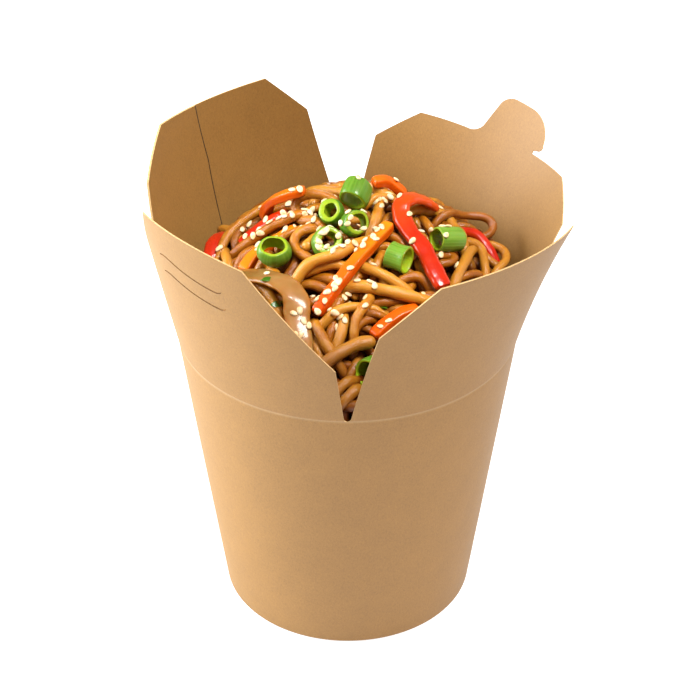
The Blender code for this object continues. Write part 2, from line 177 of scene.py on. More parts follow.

# ---- noodles laid one by one: radius, then (right, away, lift over the heap's top), mm ------------
LAID_NOODLES = [
    (1.7, [(-46, 13, 1), (-43, 19, 1), (-39, 24, 1), (-34, 28, 1), (-29, 31, 0)]),
    (1.8, [(-46, 34, 1), (-41, 25, -2), (-36, 15, -3)]),
    (1.7, [(-41, 8, 0), (-37, 9, 0), (-32, 11, 0.5), (-30, 14, 1), (-25, 13, 1.5), (-20, 12, 1), (-15, 12, 0)]),
    (1.7, [(-45, 16, -1), (-43, 11, 0), (-41, 5, 0), (-40, 0, -1)]),
    (1.7, [(-39, 0, -1), (-36, 3, 0), (-33, 6, -1)]),
    (1.6, [(-1, 13, 1), (-4, 15, 1.6), (-10, 17, 4), (-16.5, 18, 5.2), (-20, 17, 3.7), (-20, 15, 1.4),
           (-18, 12, 0.5), (-12, 9, 0), (-8, 6, -1)]),
    (1.6, [(-15, 15, -1), (-11, 16, 0), (-6, 13, 0)]),
    (1.3, [(-23, 5, 0), (-22, 8, 1.5), (-20, 10, 1.5), (-16, 10, 0)]),
    (1.7, [(-11, 6, 0), (-16, 4, 1), (-19, 2, 1), (-19, -2, 0), (-16, -5, 0), (-12, -7, -1)]),
    (2.0, [(-17, -14, 0.5), (-14.5, -12, 1.5), (-10, -10.5, 2.5), (-4, -9, 2.5), (1, -6, 2), (8, -2, 1)]),
    (1.8, [(-13, -4, 1.5), (-12, 0, 0), (-10, 4, -2)]),
    (1.8, [(-16, -12, -1), (-11, -11, -0.5), (-6, -10, 0), (-1, -10, -1)]),
    (1.8, [(-34, -8, -1), (-29, -13, -1), (-25, -19, -1), (-22, -26, -2)]),
    (1.7, [(-1, 18, 2.3), (3, 21, 2.7), (6, 24, 3.4), (9.5, 25, 4.3), (12, 24, 3.3), (13, 22, 1.5)]),
    (1.7, [(5, 14, 0), (9, 18, 1), (12, 21, 1.5), (17, 21, 1), (20, 19, 0)]),
    (1.8, [(11, 16, 1.5), (10.5, 12, 1.5), (10, 8, 1), (9, 3, 0)]),
    (1.9, [(20, 16, 0), (25, 22, 1), (29, 24, 2), (34, 26, 2.5), (37, 23, 2), (39, 19, 1), (41, 11, 0)]),
    (1.9, [(43, 9, 1), (41, 2, 2), (39, -5, 1.5), (36, -11, 0)]),
    (1.6, [(40, 14, 0), (43, 14, 1), (46, 12, 1), (47, 7, 1), (47, 2, 1)]),
    (1.5, [(33, 22, 1), (35, 24, 2.8), (39, 26, 2.6), (45, 28, 5.4), (50, 28, 7.8), (52, 26, 6.7),
           (50.5, 22, 3.8), (47.6, 19, 1.5), (44, 17, 0)]),
    (1.5, [(44, 17, 0), (48, 17, 2.7), (51.5, 17, 2.8), (55, 16, 3.6), (56, 13, 3.5), (55, 9, 1.9), (52, 5, 0)]),
    (1.5, [(46, 18, 0), (48, 14, 0.5), (51, 12, 1), (54, 9, 1)]),
    (1.6, [(26, 18, -1), (28, 12, 0), (31, 7, 0)]),
    (1.6, [(30, -1, 0), (33, 3, 1), (36, 3, 1), (37.5, 0, 0.5), (35, -3, 0), (31, -4, 0)]),
    (1.7, [(15, -17, -1), (20, -14, 0), (23, -12, 0), (26, -12, 0), (28, -15, -1)]),
    (1.9, [(3, -11, 0), (6, -13.5, 1), (10, -15, 1.5), (14, -17, 1.5), (16.5, -18, 1), (20, -19, 0)]),
    (1.7, [(9, -3, -1), (13, -2, 0), (17, -4, -1)]),
    (1.7, [(10, -10, 0.5), (11, -6, -1), (12, -1, -2)]),
    (2.1, [(-7, -22, -1), (-3, -20, 1), (1, -20.5, 2), (5, -21.5, 2.5), (10, -22.5, 2.5), (15, -22, 2),
           (20, -23, 2), (25, -22, 1), (29, -21, 0)]),
    (1.6, [(37, -8, 0), (41, -5, 0.5), (46, -1, 0)]),
    (1.6, [(22, 8, -1), (28, 6, -0.5), (33, 6, -1)]),
    (1.7, [(11, 3, -1.5), (17, 3, -1), (20, -1, -1.5)]),
    (1.7, [(-12, -32, 0), (-8, -31, 1), (-5, -30, 2), (-1, -28.5, 2), (2, -28.5, 2), (7, -27, 1)]),
    (1.7, [(8, -20, -2), (7, -26, 1), (3, -30, 1.5), (2, -33, 1), (2, -36, 0)]),
    (1.6, [(-1, -21, -1), (-3, -26, 1), (-6, -29, 0)]),
    (1.9, [(-11, -31, 1), (-9.5, -34, 1), (-8, -38, 1), (-6, -42, 0), (-3, -44, -1)]),
    (1.9, [(-2, -28, 0), (-1, -33, 1), (-3, -38, 0.5), (-5, -42, -1)]),
    (2.3, [(-9, -46, 1), (-3, -43.5, 2), (1, -41, 2), (7, -38, 1.5)]),
    (1.9, [(-4, -54, 0), (-1, -50, 0), (2, -47, 0.5), (7, -46, 0)]),
    (1.9, [(-2, -56, -1), (1, -55, 0), (3, -52, 0), (6, -48, -1)]),
    (1.6, [(-5, -43, -2), (-1, -44, -1.5), (4, -44, -2)]),
    (1.5, [(5, -28, -1), (10, -28, 0), (14, -29, -1)]),
    (2.0, [(-13, -29, -1), (-12.5, -34, 0), (-11, -38, 0), (-8, -42, -1)]),
    (1.6, [(2, -34, -1), (4, -30, 0), (8, -28, -1)]),
    (1.6, [(-6, -34, 0.5), (-4, -29, -1)]),
    (1.7, [(-3, -50, -2), (-1.6, -55.5, -3.5), (-0.7, -56.2, -9), (-0.6, -56.2, -14)]),
    (1.7, [(5, -52, -1), (3.2, -55.6, -3.5), (2.4, -56.2, -9), (2.2, -56.2, -14)]),
]
# Strands in each of the other three notches, as if that notch were the near one.
NOTCH_NOODLES = [
    (1.8, [(-9, -52, -1), (-4, -55, -1), (1, -55.5, -1.5), (6, -54, -1)]),
    (1.8, [(-6, -51, 0), (0, -53, 0), (5, -51, -1)]),
    (1.7, [(-3, -50, -2), (-1.8, -55.5, -3.5), (-0.9, -56.2, -9), (-0.6, -56.2, -19)]),
    (1.7, [(5, -52, -1), (3.2, -55.6, -3.5), (2.4, -56.2, -9), (2.0, -56.2, -19)]),
]
# Sesame lies in clusters: (right, away), spread, share of the seeds.
SESAME_CLUSTERS = [
    ((-14, 10), 3.6, 0.13), ((-19, 12), 3.5, 0.07), ((-7, -4), 3.5, 0.05), ((-5, -7), 3.0, 0.05),
    ((0, -8), 3.5, 0.05), ((6, -6), 4.5, 0.04), ((-6, -24), 3.2, 0.10), ((-1, -23), 3.0, 0.05),
    ((-10, -29), 2.0, 0.03), ((-2, -31), 2.0, 0.03), ((6, -21), 5.0, 0.04), ((12, -34), 2.0, 0.02),
    ((10, 17), 7.0, 0.05), ((24, 22), 6.0, 0.03), ((-32, 12), 8.0, 0.05), ((30, 4), 8.0, 0.04),
    ((-16, -30), 3.0, 0.03), ((0, 2), 27.0, 0.14),
]
LEAF_SPOTS = [(9.6, -18.6), (11.5, -25), (-17, -11), (-27, -18), (-24, -23), (-30, 28), (22, 33), (42, -20)]


# ---- small helpers ------------------------------------------------------------------------------
def linear(hex_colour):
    """An sRGB hex colour such as "C8A070" as linear RGBA."""
    parts = [int(hex_colour[i:i + 2], 16) / 255.0 for i in (0, 2, 4)]
    return [c / 12.92 if c <= 0.04045 else ((c + 0.055) / 1.055) ** 2.4 for c in parts] + [1.0]


def unit(v):
    """Vectors divided by their lengths."""
    return v / np.maximum(np.linalg.norm(v, axis=-1, keepdims=True), 1e-12)


def place(points, turn=0.0):
    """Points in mm about the cone's axis, turned about Z, as metres in the row frame."""
    p = np.asarray(points, float)
    c, s = math.cos(turn), math.sin(turn)
    x = p[..., 0] * c - p[..., 1] * s + AXIS[0]
    y = p[..., 0] * s + p[..., 1] * c + AXIS[1]
    return np.stack([x, y, p[..., 2]], axis=-1) * MM


def smooth_line(points, spacing):
    """Catmull-Rom curve through the points, read again at even distances along it."""
    p = np.asarray(points, float)
    ends = np.vstack([2.0 * p[0] - p[1], p, 2.0 * p[-1] - p[-2]])
    n = len(p) - 1
    u = np.linspace(0.0, n, 24 * n + 1)
    j = np.minimum(u.astype(int), n - 1)
    f = (u - j)[:, None]
    a, b, c, d = ends[j], ends[j + 1], ends[j + 2], ends[j + 3]
    q = 0.5 * (2 * b + (c - a) * f + (2 * a - 5 * b + 4 * c - d) * f ** 2 + (3 * b - a - 3 * c + d) * f ** 3)
    s = np.concatenate([[0.0], np.cumsum(np.linalg.norm(np.diff(q, axis=0), axis=1))])
    even = np.linspace(0.0, s[-1], max(int(round(s[-1] / spacing)), 2) + 1)
    return np.stack([np.interp(even, s, q[:, k]) for k in range(p.shape[1])], axis=1)


def grid_faces(rows, columns, first=0):
    """Quads of a grid whose columns close on themselves, row by row."""
    i, j = np.meshgrid(np.arange(rows - 1), np.arange(columns), indexing="ij")
    k = (j + 1) % columns
    quads = np.stack([i * columns + j, i * columns + k, (i + 1) * columns + k, (i + 1) * columns + j], axis=-1)
    return quads.reshape(-1, 4) + first


def new_piece(name, points, faces, materials, attributes=None, face_material=None, sharp=40.0):
    """An object from arrays: points in metres, a list of face arrays, and float attributes."""
    mesh = bpy.data.meshes.new(name)
    corners = np.concatenate([f.ravel() for f in faces]).astype(np.int32)
    totals = np.concatenate([np.full(len(f), f.shape[1]) for f in faces]).astype(np.int32)
    mesh.vertices.add(len(points))
    mesh.vertices.foreach_set("co", np.ascontiguousarray(points, np.float32).ravel())
    mesh.loops.add(len(corners))
    mesh.loops.foreach_set("vertex_index", corners)
    mesh.polygons.add(len(totals))
    mesh.polygons.foreach_set("loop_start", np.concatenate([[0], np.cumsum(totals)[:-1]]).astype(np.int32))
    mesh.polygons.foreach_set("loop_total", totals)
    for material in materials:
        mesh.materials.append(material)
    if face_material is not None:
        mesh.polygons.foreach_set("material_index", face_material.astype(np.int32))
    mesh.update(calc_edges=True)
    for key, values in (attributes or {}).items():
        attribute = mesh.attributes.new(key, "FLOAT", "POINT")
        attribute.data.foreach_set("value", np.ascontiguousarray(values, np.float32))
    mesh.shade_smooth()
    mesh.set_sharp_from_angle(angle=math.radians(sharp))
    obj = bpy.data.objects.new(name, mesh)
    bpy.context.scene.collection.objects.link(obj)
    return obj


def add_node(tree, kind, values=None, links=None, **settings):
    """Add a shader node: settings on the node, values on its sockets, links from other sockets."""
    node = tree.nodes.new(kind)
    for key, value in settings.items():
        setattr(node, key, value)
    for key, value in (values or {}).items():
        node.inputs[key].default_value = value
    for key, socket in (links or {}).items():
        tree.links.new(socket, node.inputs[key])
    return node


def new_material(name, values):
    """A Principled material with these socket values, and its tree, shader and Object coordinates."""
    material = bpy.data.materials.new(name)
    material.use_nodes = True
    tree = material.node_tree
    shader = tree.nodes["Principled BSDF"]
    for key, value in values.items():
        shader.inputs[key].default_value = value
    place_node = add_node(tree, "ShaderNodeTexCoord")
    return material, tree, shader, place_node.outputs["Object"]


def noise(tree, where, size_mm, detail=2.0, roughness=0.5, distortion=0.0):
    """The value of a noise pattern whose lumps are about size_mm wide."""
    made = add_node(tree, "ShaderNodeTexNoise",
                    {"Scale": 1.0 / (size_mm * MM), "Detail": detail, "Roughness": roughness,
                     "Distortion": distortion}, {"Vector": where})
    return made.outputs["Fac"]


def ramp(tree, factor, stops):
    """A colour ramp; stops are (place, hex)."""
    made = add_node(tree, "ShaderNodeValToRGB", links={"Fac": factor})
    elements = made.color_ramp.elements
    while len(elements) < len(stops):
        elements.new(0.5)
    for element, (where, colour) in zip(elements, stops):
        element.position = where
        element.color = linear(colour)
    return made.outputs["Color"]


def blend_colour(tree, factor, a, b, mode="MIX"):
    """Mix of two colours; factor, a and b are sockets or constants."""
    made = add_node(tree, "ShaderNodeMix", data_type="RGBA", blend_type=mode)
    for key, value in ((0, factor), (6, a), (7, b)):
        if isinstance(value, bpy.types.NodeSocket):
            tree.links.new(value, made.inputs[key])
        else:
            made.inputs[key].default_value = value
    return made.outputs[2]


def attribute(tree, name):
    """A float attribute of the piece."""
    return add_node(tree, "ShaderNodeAttribute", attribute_name=name).outputs["Fac"]


def maths(tree, operation, a, b=0.0, c=None, clamp=False):
    """One Math node."""
    made = add_node(tree, "ShaderNodeMath", operation=operation, use_clamp=clamp)
    for key, value in enumerate((a, b, c)):
        if isinstance(value, bpy.types.NodeSocket):
            tree.links.new(value, made.inputs[key])
        elif value is not None:
            made.inputs[key].default_value = value
    return made.outputs[0]


def bump(tree, shader, height, distance_mm, strength=1.0):
    """Surface relief of this depth on the shader and on its wet coat."""
    made = add_node(tree, "ShaderNodeBump", {"Strength": strength, "Distance": distance_mm * MM},
                    {"Height": height})
    tree.links.new(made.outputs["Normal"], shader.inputs["Normal"])
    tree.links.new(made.outputs["Normal"], shader.inputs["Coat Normal"])


# ---- materials ----------------------------------------------------------------------------------
def kraft_board(settings):
    """Unbleached kraft board: long brown fibres, darker specks, a dull calendered face, a painted highlight along the
    crease and a painted shadow at the glued seam's step.
    """
    material, tree, shader, where = new_material("kraft_board", {"Roughness": 0.6, "Specular IOR Level": 0.5})
    base = (*settings.colour, 1.0)
    stretched = add_node(tree, "ShaderNodeMapping", {"Scale": (1.0, 1.0, 0.6)}, {"Vector": where})
    fibres = noise(tree, stretched.outputs["Vector"], 0.5, 3.0, 0.7, 0.9)
    cloud = noise(tree, where, 9.0, 2.0, 0.5)
    specks = noise(tree, where, 0.75, 2.0, 0.5)
    fine = maths(tree, "MULTIPLY_ADD", fibres, 0.8, 0.6)
    shade = maths(tree, "MULTIPLY_ADD", cloud, 0.16, 0.92)
    tone = maths(tree, "MULTIPLY", fine, shade)
    toned = blend_colour(tree, 1.0, base, tone, "MULTIPLY")
    dark = maths(tree, "MULTIPLY", maths(tree, "SUBTRACT", specks, 0.69, clamp=True), 6.0, clamp=True)
    flecked = blend_colour(tree, maths(tree, "MULTIPLY", dark, 0.55), toned, linear("7A5330"))
    # painted highlight: the pale line along the crease, where the pressed ridge catches the light
    pressed = blend_colour(tree, maths(tree, "MULTIPLY", attribute(tree, "crease_highlight"), 0.13), flecked, linear("F3DCB8"))
    # painted shadow: a near-black line at the step of the glued seam
    glued = blend_colour(tree, attribute(tree, "seam_shadow"), pressed, linear("180C04"))
    tree.links.new(glued, shader.inputs["Base Color"])
    bump(tree, shader, maths(tree, "MULTIPLY_ADD", fibres, 0.7, maths(tree, "MULTIPLY", cloud, 1.5)), 0.06, 0.5)
    return material


def board_edge():
    """The cut edge of kraft board: the same fibres, unpressed, paler and rough."""
    material, tree, shader, where = new_material("kraft_board_cut_edge", {"Roughness": 0.95})
    tone = noise(tree, where, 0.5, 2.0)
    tree.links.new(ramp(tree, tone, [(0.3, "B48E5A"), (0.7, "CCA976")]), shader.inputs["Base Color"])
    return material


def slit_shadow():
    """The pressed edge inside a locking slit, painted dark as the shadow in the narrow cut."""
    material, tree, shader, where = new_material("kraft_board_slit_painted_shadow", {"Roughness": 0.95})
    tone = noise(tree, where, 0.8, 2.0)
    tree.links.new(ramp(tree, tone, [(0.3, "7A5632"), (0.7, "966E40")]), shader.inputs["Base Color"])
    return material


def noodle_finish(settings):
    """Wheat noodles fried in soy sauce: translucent dough and wet gloss, painted darker brown as shade deep in the
    heap, on undersides and where the flaps shade them.
    """
    material, tree, shader, where = new_material("sauced_noodle", {
        "IOR": 1.4, "Specular IOR Level": 0.15, "Subsurface Weight": 0.05, "Subsurface Scale": 0.001,
        "Coat Weight": 0.7, "Coat Roughness": 0.04})
    blotch = noise(tree, where, 3.2, 3.0, 0.6)
    tone = attribute(tree, "tone")
    mixed = maths(tree, "ADD", maths(tree, "MULTIPLY", tone, 0.55), maths(tree, "MULTIPLY", blotch, 0.75))
    dough = ramp(tree, mixed, [(0.28, "824406"), (0.5, "9A5608"), (0.68, "AE680E"), (0.9, "C88626")])
    # painted shade: the depth attribute mixes the dough towards dark brown 602A04 where strands lie deep, face down,
    # in the tangle or in the flaps' shade
    painted_shade_share = maths(tree, "MULTIPLY", attribute(tree, "depth"), 0.23, clamp=True)
    dough_with_painted_shade = blend_colour(tree, painted_shade_share, dough, linear("602A04"))
    tree.links.new(dough_with_painted_shade, shader.inputs["Base Color"])
    grain = noise(tree, where, 0.7, 4.0, 0.7)
    rough = maths(tree, "MULTIPLY_ADD", grain, 0.3, 0.22)
    tree.links.new(rough, shader.inputs["Roughness"])
    bump(tree, shader, grain, 0.34, 0.8)
    return material


def painted_shade_core():
    """What shows between the noodles: more noodles, painted dark brown as the shade deep between the strands."""
    material, tree, shader, where = new_material("noodle_core_painted_shade", {"Roughness": 0.7, "Specular IOR Level": 0.1})
    lumps = noise(tree, where, 4.0, 3.0)
    tree.links.new(ramp(tree, lumps, [(0.35, "3A1804"), (0.7, "7A4214")]), shader.inputs["Base Color"])
    bump(tree, shader, lumps, 0.8)
    return material


def onion_green():
    """Cut spring onion: waxy green skin with fine lengthwise veins, paler flesh inside."""
    material, tree, shader, where = new_material("spring_onion_leaf", {
        "Roughness": 0.36, "Specular IOR Level": 0.2, "Subsurface Weight": 0.15, "Subsurface Scale": 0.0015,
        "Coat Weight": 0.25, "Coat Roughness": 0.1})
    veins = attribute(tree, "vein")
    skin_dark = blend_colour(tree, veins, linear("2A5202"), linear("426C04"))
    skin_pale = blend_colour(tree, veins, linear("628A20"), linear("86A444"))
    skin = blend_colour(tree, attribute(tree, "pale"), skin_dark, skin_pale)
    patch = noise(tree, where, 2.5, 2.0)
    skin = blend_colour(tree, maths(tree, "MULTIPLY", patch, 0.35), skin, linear("64961A"))
    flesh = blend_colour(tree, patch, linear("76900A"), linear("9EB022"))
    mixed = blend_colour(tree, attribute(tree, "inside"), skin, flesh)
    tree.links.new(mixed, shader.inputs["Base Color"])
    bump(tree, shader, maths(tree, "ADD", veins, noise(tree, where, 0.8)), 0.12, 0.5)
    return material


def carrot_flesh():
    """Carrot cut in sticks: dense wet flesh, orange, with its sides and underside painted redder as shade."""
    material, tree, shader, where = new_material("carrot_flesh", {
        "Roughness": 0.36, "Specular IOR Level": 0.12, "Subsurface Weight": 0.06, "Subsurface Scale": 0.0015,
        "Coat Weight": 0.3, "Coat Roughness": 0.1})
    blotch = noise(tree, where, 4.0, 2.0)
    red = ramp(tree, blotch, [(0.35, "CC3A02"), (0.7, "D64402")])
    face = blend_colour(tree, attribute(tree, "tint"), red, linear("E27C08"))
    # painted shade: the flanks and the underside (side) darken towards red CC4C04
    side = blend_colour(tree, attribute(tree, "side"), face, linear("CC4C04"))
    tree.links.new(side, shader.inputs["Base Color"])
    bump(tree, shader, noise(tree, where, 1.0, 3.0), 0.15, 0.6)
    return material


def pepper_skin():
    """Red pepper: a taut glossy skin over paler flesh."""
    material, tree, shader, where = new_material("red_pepper_skin", {
        "Roughness": 0.32, "Specular IOR Level": 0.12, "Subsurface Weight": 0.06, "Subsurface Scale": 0.0015,
        "Coat Weight": 0.5, "Coat Roughness": 0.06})
    blotch = noise(tree, where, 5.0, 2.0)
    red = ramp(tree, blotch, [(0.35, "A81202"), (0.7, "B82004")])
    face = blend_colour(tree, attribute(tree, "tint"), red, linear("D44A08"))
    side = blend_colour(tree, maths(tree, "MULTIPLY", attribute(tree, "side"), 0.7), face, linear("C24010"))
    tree.links.new(side, shader.inputs["Base Color"])
    bump(tree, shader, noise(tree, where, 2.2, 2.0), 0.3, 0.5)
    return material


def onion_flesh():
    """Fried white onion: translucent layers stained by sauce, wet."""
    material, tree, shader, where = new_material("fried_onion", {
        "Roughness": 0.3, "Specular IOR Level": 0.2, "Subsurface Weight": 0.35, "Subsurface Scale": 0.0025,
        "Coat Weight": 0.25, "Coat Roughness": 0.1})
    blotch = noise(tree, where, 6.0, 2.0)
    brown = ramp(tree, blotch, [(0.3, "5C4010"), (0.7, "70521C")])
    pale = ramp(tree, blotch, [(0.3, "9A6A36"), (0.7, "AA7A48")])
    face = blend_colour(tree, attribute(tree, "tint"), brown, pale)
    side = blend_colour(tree, attribute(tree, "side"), face, linear("A0661A"))
    tree.links.new(side, shader.inputs["Base Color"])
    bump(tree, shader, blotch, 0.5, 0.6)
    return material


def sesame_seed():
    """Hulled sesame: cream, dull, a little browner at the tip."""
    material, tree, shader, where = new_material("sesame_seed", {
        "Roughness": 0.45, "Subsurface Weight": 0.15, "Subsurface Scale": 0.0008})
    tone = noise(tree, where, 1.6, 2.0)
    tree.links.new(ramp(tree, tone, [(0.3, "D6B27A"), (0.55, "E8D2A6"), (0.8, "F4E4C4")]),
                   shader.inputs["Base Color"])
    return material


# ---- the paper ----------------------------------------------------------------------------------
def wall_inside(height):
    """Inner radius of the cone at a height, mm."""
    return FOOT_RADIUS + height * math.tan(WALL_LEAN) - 0.45 / math.cos(WALL_LEAN)


def make_wall(settings, board):
    """The cone: a profile of (radius, height) turned round the axis, with the hem rolled in.

    The outside bends in by the crease's depth, as a bell curve of height, just under the flaps.
    """
    z = np.concatenate([np.linspace(0.7, 100.0, 34), np.linspace(101.0, CREASE_HEIGHT, 20)])
    dent = settings.crease_depth / MM * np.exp(-((CREASE_HEIGHT - z) / 0.5) ** 2)
    outer = np.stack([FOOT_RADIUS + z * math.tan(WALL_LEAN) - dent, z], axis=1)
    foot = np.array(arc((FOOT_RADIUS - 0.75, 0.75), 0.75, 350.0, 270.0, 6))
    hem = np.array([(FOOT_RADIUS - HEM_WIDTH + 0.4, 0.0), (FOOT_RADIUS - HEM_WIDTH, 0.4),
                    (FOOT_RADIUS - HEM_WIDTH, HEM_HEIGHT - 0.3), (FOOT_RADIUS - HEM_WIDTH + 0.3, HEM_HEIGHT),
                    (wall_inside(HEM_HEIGHT), HEM_HEIGHT)])
    inner = np.array([(wall_inside(h), h) for h in np.linspace(20.0, CREASE_HEIGHT, 8)])
    profile = np.vstack([outer[::-1], foot, hem, inner])
    around = np.linspace(0.0, 2.0 * np.pi, 240, endpoint=False)
    rows = len(profile)
    r, h = profile[:, 0][:, None], profile[:, 1][:, None]
    points = np.stack([r * np.cos(around), r * np.sin(around), h + 0.0 * around], axis=-1).reshape(-1, 3)
    faces = grid_faces(rows + 1, 240) % (rows * 240)
    # painted highlight: a lighter line along the crease on the outside
    crease_highlight = np.exp(-((CREASE_HEIGHT - points[:, 2]) / 0.45) ** 2) * (np.hypot(points[:, 0], points[:, 1]) > 59.2)
    wall = new_piece("box_wall", place(points), [faces[:, ::-1]], [board],
                     {"crease_highlight": crease_highlight, "seam_shadow": 0.0 * crease_highlight})
    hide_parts("carton_wall")
    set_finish(wall, "kraft_paper")
    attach(wall, "box")


def flap_point(flap, s, t):
    """Where flat points (s, t) of a flap go, in mm: X outward, Y round the box, from the crease's middle.

    The angle round the box is s over the cone's radius at t; the lean grows with that angle by twist
    and with t by curl; the rulings turn by fan times the angle.
    """
    around = s / (1.0 + math.sin(WALL_LEAN) * t / CREASE_RADIUS) / CREASE_RADIUS
    lean = math.radians(flap["lean"]) + flap["twist"] * around + flap["curl"] * t / 120.0
    ruling = around * flap["fan"]
    return np.stack([
        CREASE_RADIUS * (np.cos(around) - 1.0) + t * np.sin(lean) * np.cos(ruling),
        CREASE_RADIUS * np.sin(around) + t * np.sin(lean) * np.sin(ruling),
        t * np.cos(lean),
    ], axis=-1)


def flat_sheet(outlines, lines, pitch):
    """Triangles of a flat outline with holes, cut by a grid of that pitch and by extra lines.

    Returns the flat points (s, t) in mm, the triangles, and the directed edges of its border.
    """
    curve = bpy.data.curves.new("sheet", "CURVE")
    curve.dimensions = "2D"
    curve.fill_mode = "BOTH"
    for outline in outlines:
        spline = curve.splines.new("POLY")
        spline.points.add(len(outline) - 1)
        spline.points.foreach_set("co", np.array([(s, t, 0.0, 1.0) for s, t in outline]).ravel())
        spline.use_cyclic_u = True
    blank = bpy.data.objects.new("sheet", curve)
    bpy.context.scene.collection.objects.link(blank)
    mesh = bpy.data.meshes.new_from_object(blank.evaluated_get(bpy.context.evaluated_depsgraph_get()))
    bpy.data.objects.remove(blank)
    cut = bmesh.new()
    cut.from_mesh(mesh)
    bmesh.ops.remove_doubles(cut, verts=cut.verts, dist=0.01)
    planes = [((k * pitch, 0.0, 0.0), (1.0, 0.0, 0.0)) for k in range(int(-52 / pitch), int(52 / pitch) + 1)]
    planes += [((0.0, k * pitch, 0.0), (0.0, 1.0, 0.0)) for k in range(1, int(70 / pitch) + 1)]
    planes += [((0.0, t, 0.0), (0.0, 1.0, 0.0)) for t in (0.35, 0.7, 1.1, 1.6)]
    for (s0, t0), (s1, t1) in lines:
        planes.append(((s0, t0, 0.0), (t1 - t0, s0 - s1, 0.0)))
    for where, normal in planes:
        bmesh.ops.bisect_plane(cut, geom=cut.verts[:] + cut.edges[:] + cut.faces[:], dist=0.005,
                               plane_co=where, plane_no=Vector(normal).normalized())
    bmesh.ops.triangulate(cut, faces=cut.faces)
    if sum(face.normal.z for face in cut.faces) < 0.0:
        bmesh.ops.reverse_faces(cut, faces=cut.faces)
    cut.verts.index_update()
    flat = np.array([v.co[:2] for v in cut.verts])
    triangles = np.array([[v.index for v in face.verts] for face in cut.faces])
    border = np.array([[loop.vert.index, loop.link_loop_next.vert.index] for edge in cut.edges
                       if edge.is_boundary for loop in edge.link_loops])
    cut.free()
    return flat, triangles, border


def make_flap(flap, settings, board, edge, shadow):
    """One flap: the flat outline is bent by flap_point and given the board's thickness inward.

    The left flap has a second layer inside, past its glued edge, with a dark line at the step that is a painted
    shadow.
    """
    half = CREASE_RADIUS * math.pi / 4.0 - NOTCH_HALF
    flare = [(half + 1.0 - math.sqrt(1.0 - (1.0 - k) ** 2), k) for k in (0.0, 0.12, 0.3, 0.55, 1.0)]
    shoulder_s, shoulder_t = flap["shoulder"]
    outline = [(-s, t) for s, t in reversed(flare)] + flare + [(shoulder_s, shoulder_t)]
    outline += flap["top"] + [(-shoulder_s, shoulder_t)]
    holes = []
    for line in flap["slits"]:
        fine = smooth_line(line, 1.2)
        open_half = 0.28 * np.minimum(1.0, np.minimum(np.arange(len(fine)), np.arange(len(fine))[::-1]) / 1.5 + 0.25)
        holes.append([(s, t - w) for (s, t), w in zip(fine, open_half)]
                     + [(s, t + w) for (s, t), w in zip(fine[::-1], open_half[::-1])])
    lines = []
    if flap["node"] == "flap_seam_left":
        lines = [((s0 + d, t0), (s1 + d, t1)) for (s0, t0), (s1, t1) in zip(SEAM, SEAM[1:]) for d in (-0.1, 0.0, 0.5, 0.6)]
    flat, triangles, border = flat_sheet([outline] + holes, lines, 2.4)
    s, t = flat[:, 0], flat[:, 1]
    surface = flap_point(flap, s, t)
    across = flap_point(flap, s + 0.05, t) - flap_point(flap, s - 0.05, t)
    up = flap_point(flap, s, t + 0.05) - flap_point(flap, s, t - 0.05)
    normal = unit(np.cross(across, up))
    dent = settings.crease_depth / MM * np.exp(-(t / 0.5) ** 2)
    outer = surface - unit(normal * (1.0, 1.0, 0.0)) * dent[:, None]
    thick = np.full(len(s), settings.thickness / MM)
    seam_shadow = np.zeros(len(s))
    if lines:
        beyond = s - np.interp(t, [p[1] for p in SEAM], [p[0] for p in SEAM])
        thick = thick + np.where(beyond > 0.1, 0.3, 0.0)
        # painted shadow: the dark line about 0.5 mm wide at the seam's step, on the inside face
        seam_shadow = np.where((beyond > -0.02) & (beyond < 0.52), 1.0, 0.0)
    lip = np.zeros(len(s))
    in_slit = np.zeros(len(border), bool)
    for line in flap["slits"]:
        fine = smooth_line(line, 1.2)
        middle = np.interp(s, fine[:, 0], fine[:, 1])
        near = (np.abs(t - middle) < 0.8) & (s > fine[0, 0] - 0.3) & (s < fine[-1, 0] + 0.3)
        lip += np.where(near, np.where(t < middle, 0.08, -0.05), 0.0)
        in_slit |= near[border[:, 0]] & near[border[:, 1]]
    outer = outer + normal * lip[:, None]
    inner = surface - normal * (thick - lip)[:, None]
    n = len(s)
    points = np.vstack([outer, inner])
    points[np.tile(t < 0.01, 2), 2] = 0.0
    rim = np.stack([border[:, 1], border[:, 0], border[:, 0] + n, border[:, 1] + n], axis=1)
    skins = np.vstack([triangles, triangles[:, ::-1] + n])
    # painted highlight along the crease, on both faces
    crease_highlight = np.exp(-(t / 0.45) ** 2)
    heading = math.radians(flap["heading"])
    points[:, 0] += CREASE_RADIUS
    points[:, 2] += CREASE_HEIGHT
    # the slit's rim faces take the third material, painted dark as the shadow in the cut
    face_material = np.concatenate([np.zeros(len(skins)), np.where(in_slit, 2, 1)])
    skin = new_piece(flap["skin"], place(points, heading), [skins, rim], [board, edge, shadow],
                     {"crease_highlight": np.concatenate([crease_highlight, crease_highlight]), "seam_shadow": np.concatenate([0.0 * seam_shadow, seam_shadow])},
                     face_material)
    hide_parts(flap["node"])
    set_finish(skin, "kraft_paper")
    middle = place(np.array([CREASE_RADIUS, 0.0, CREASE_HEIGHT]), heading)
    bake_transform(skin)


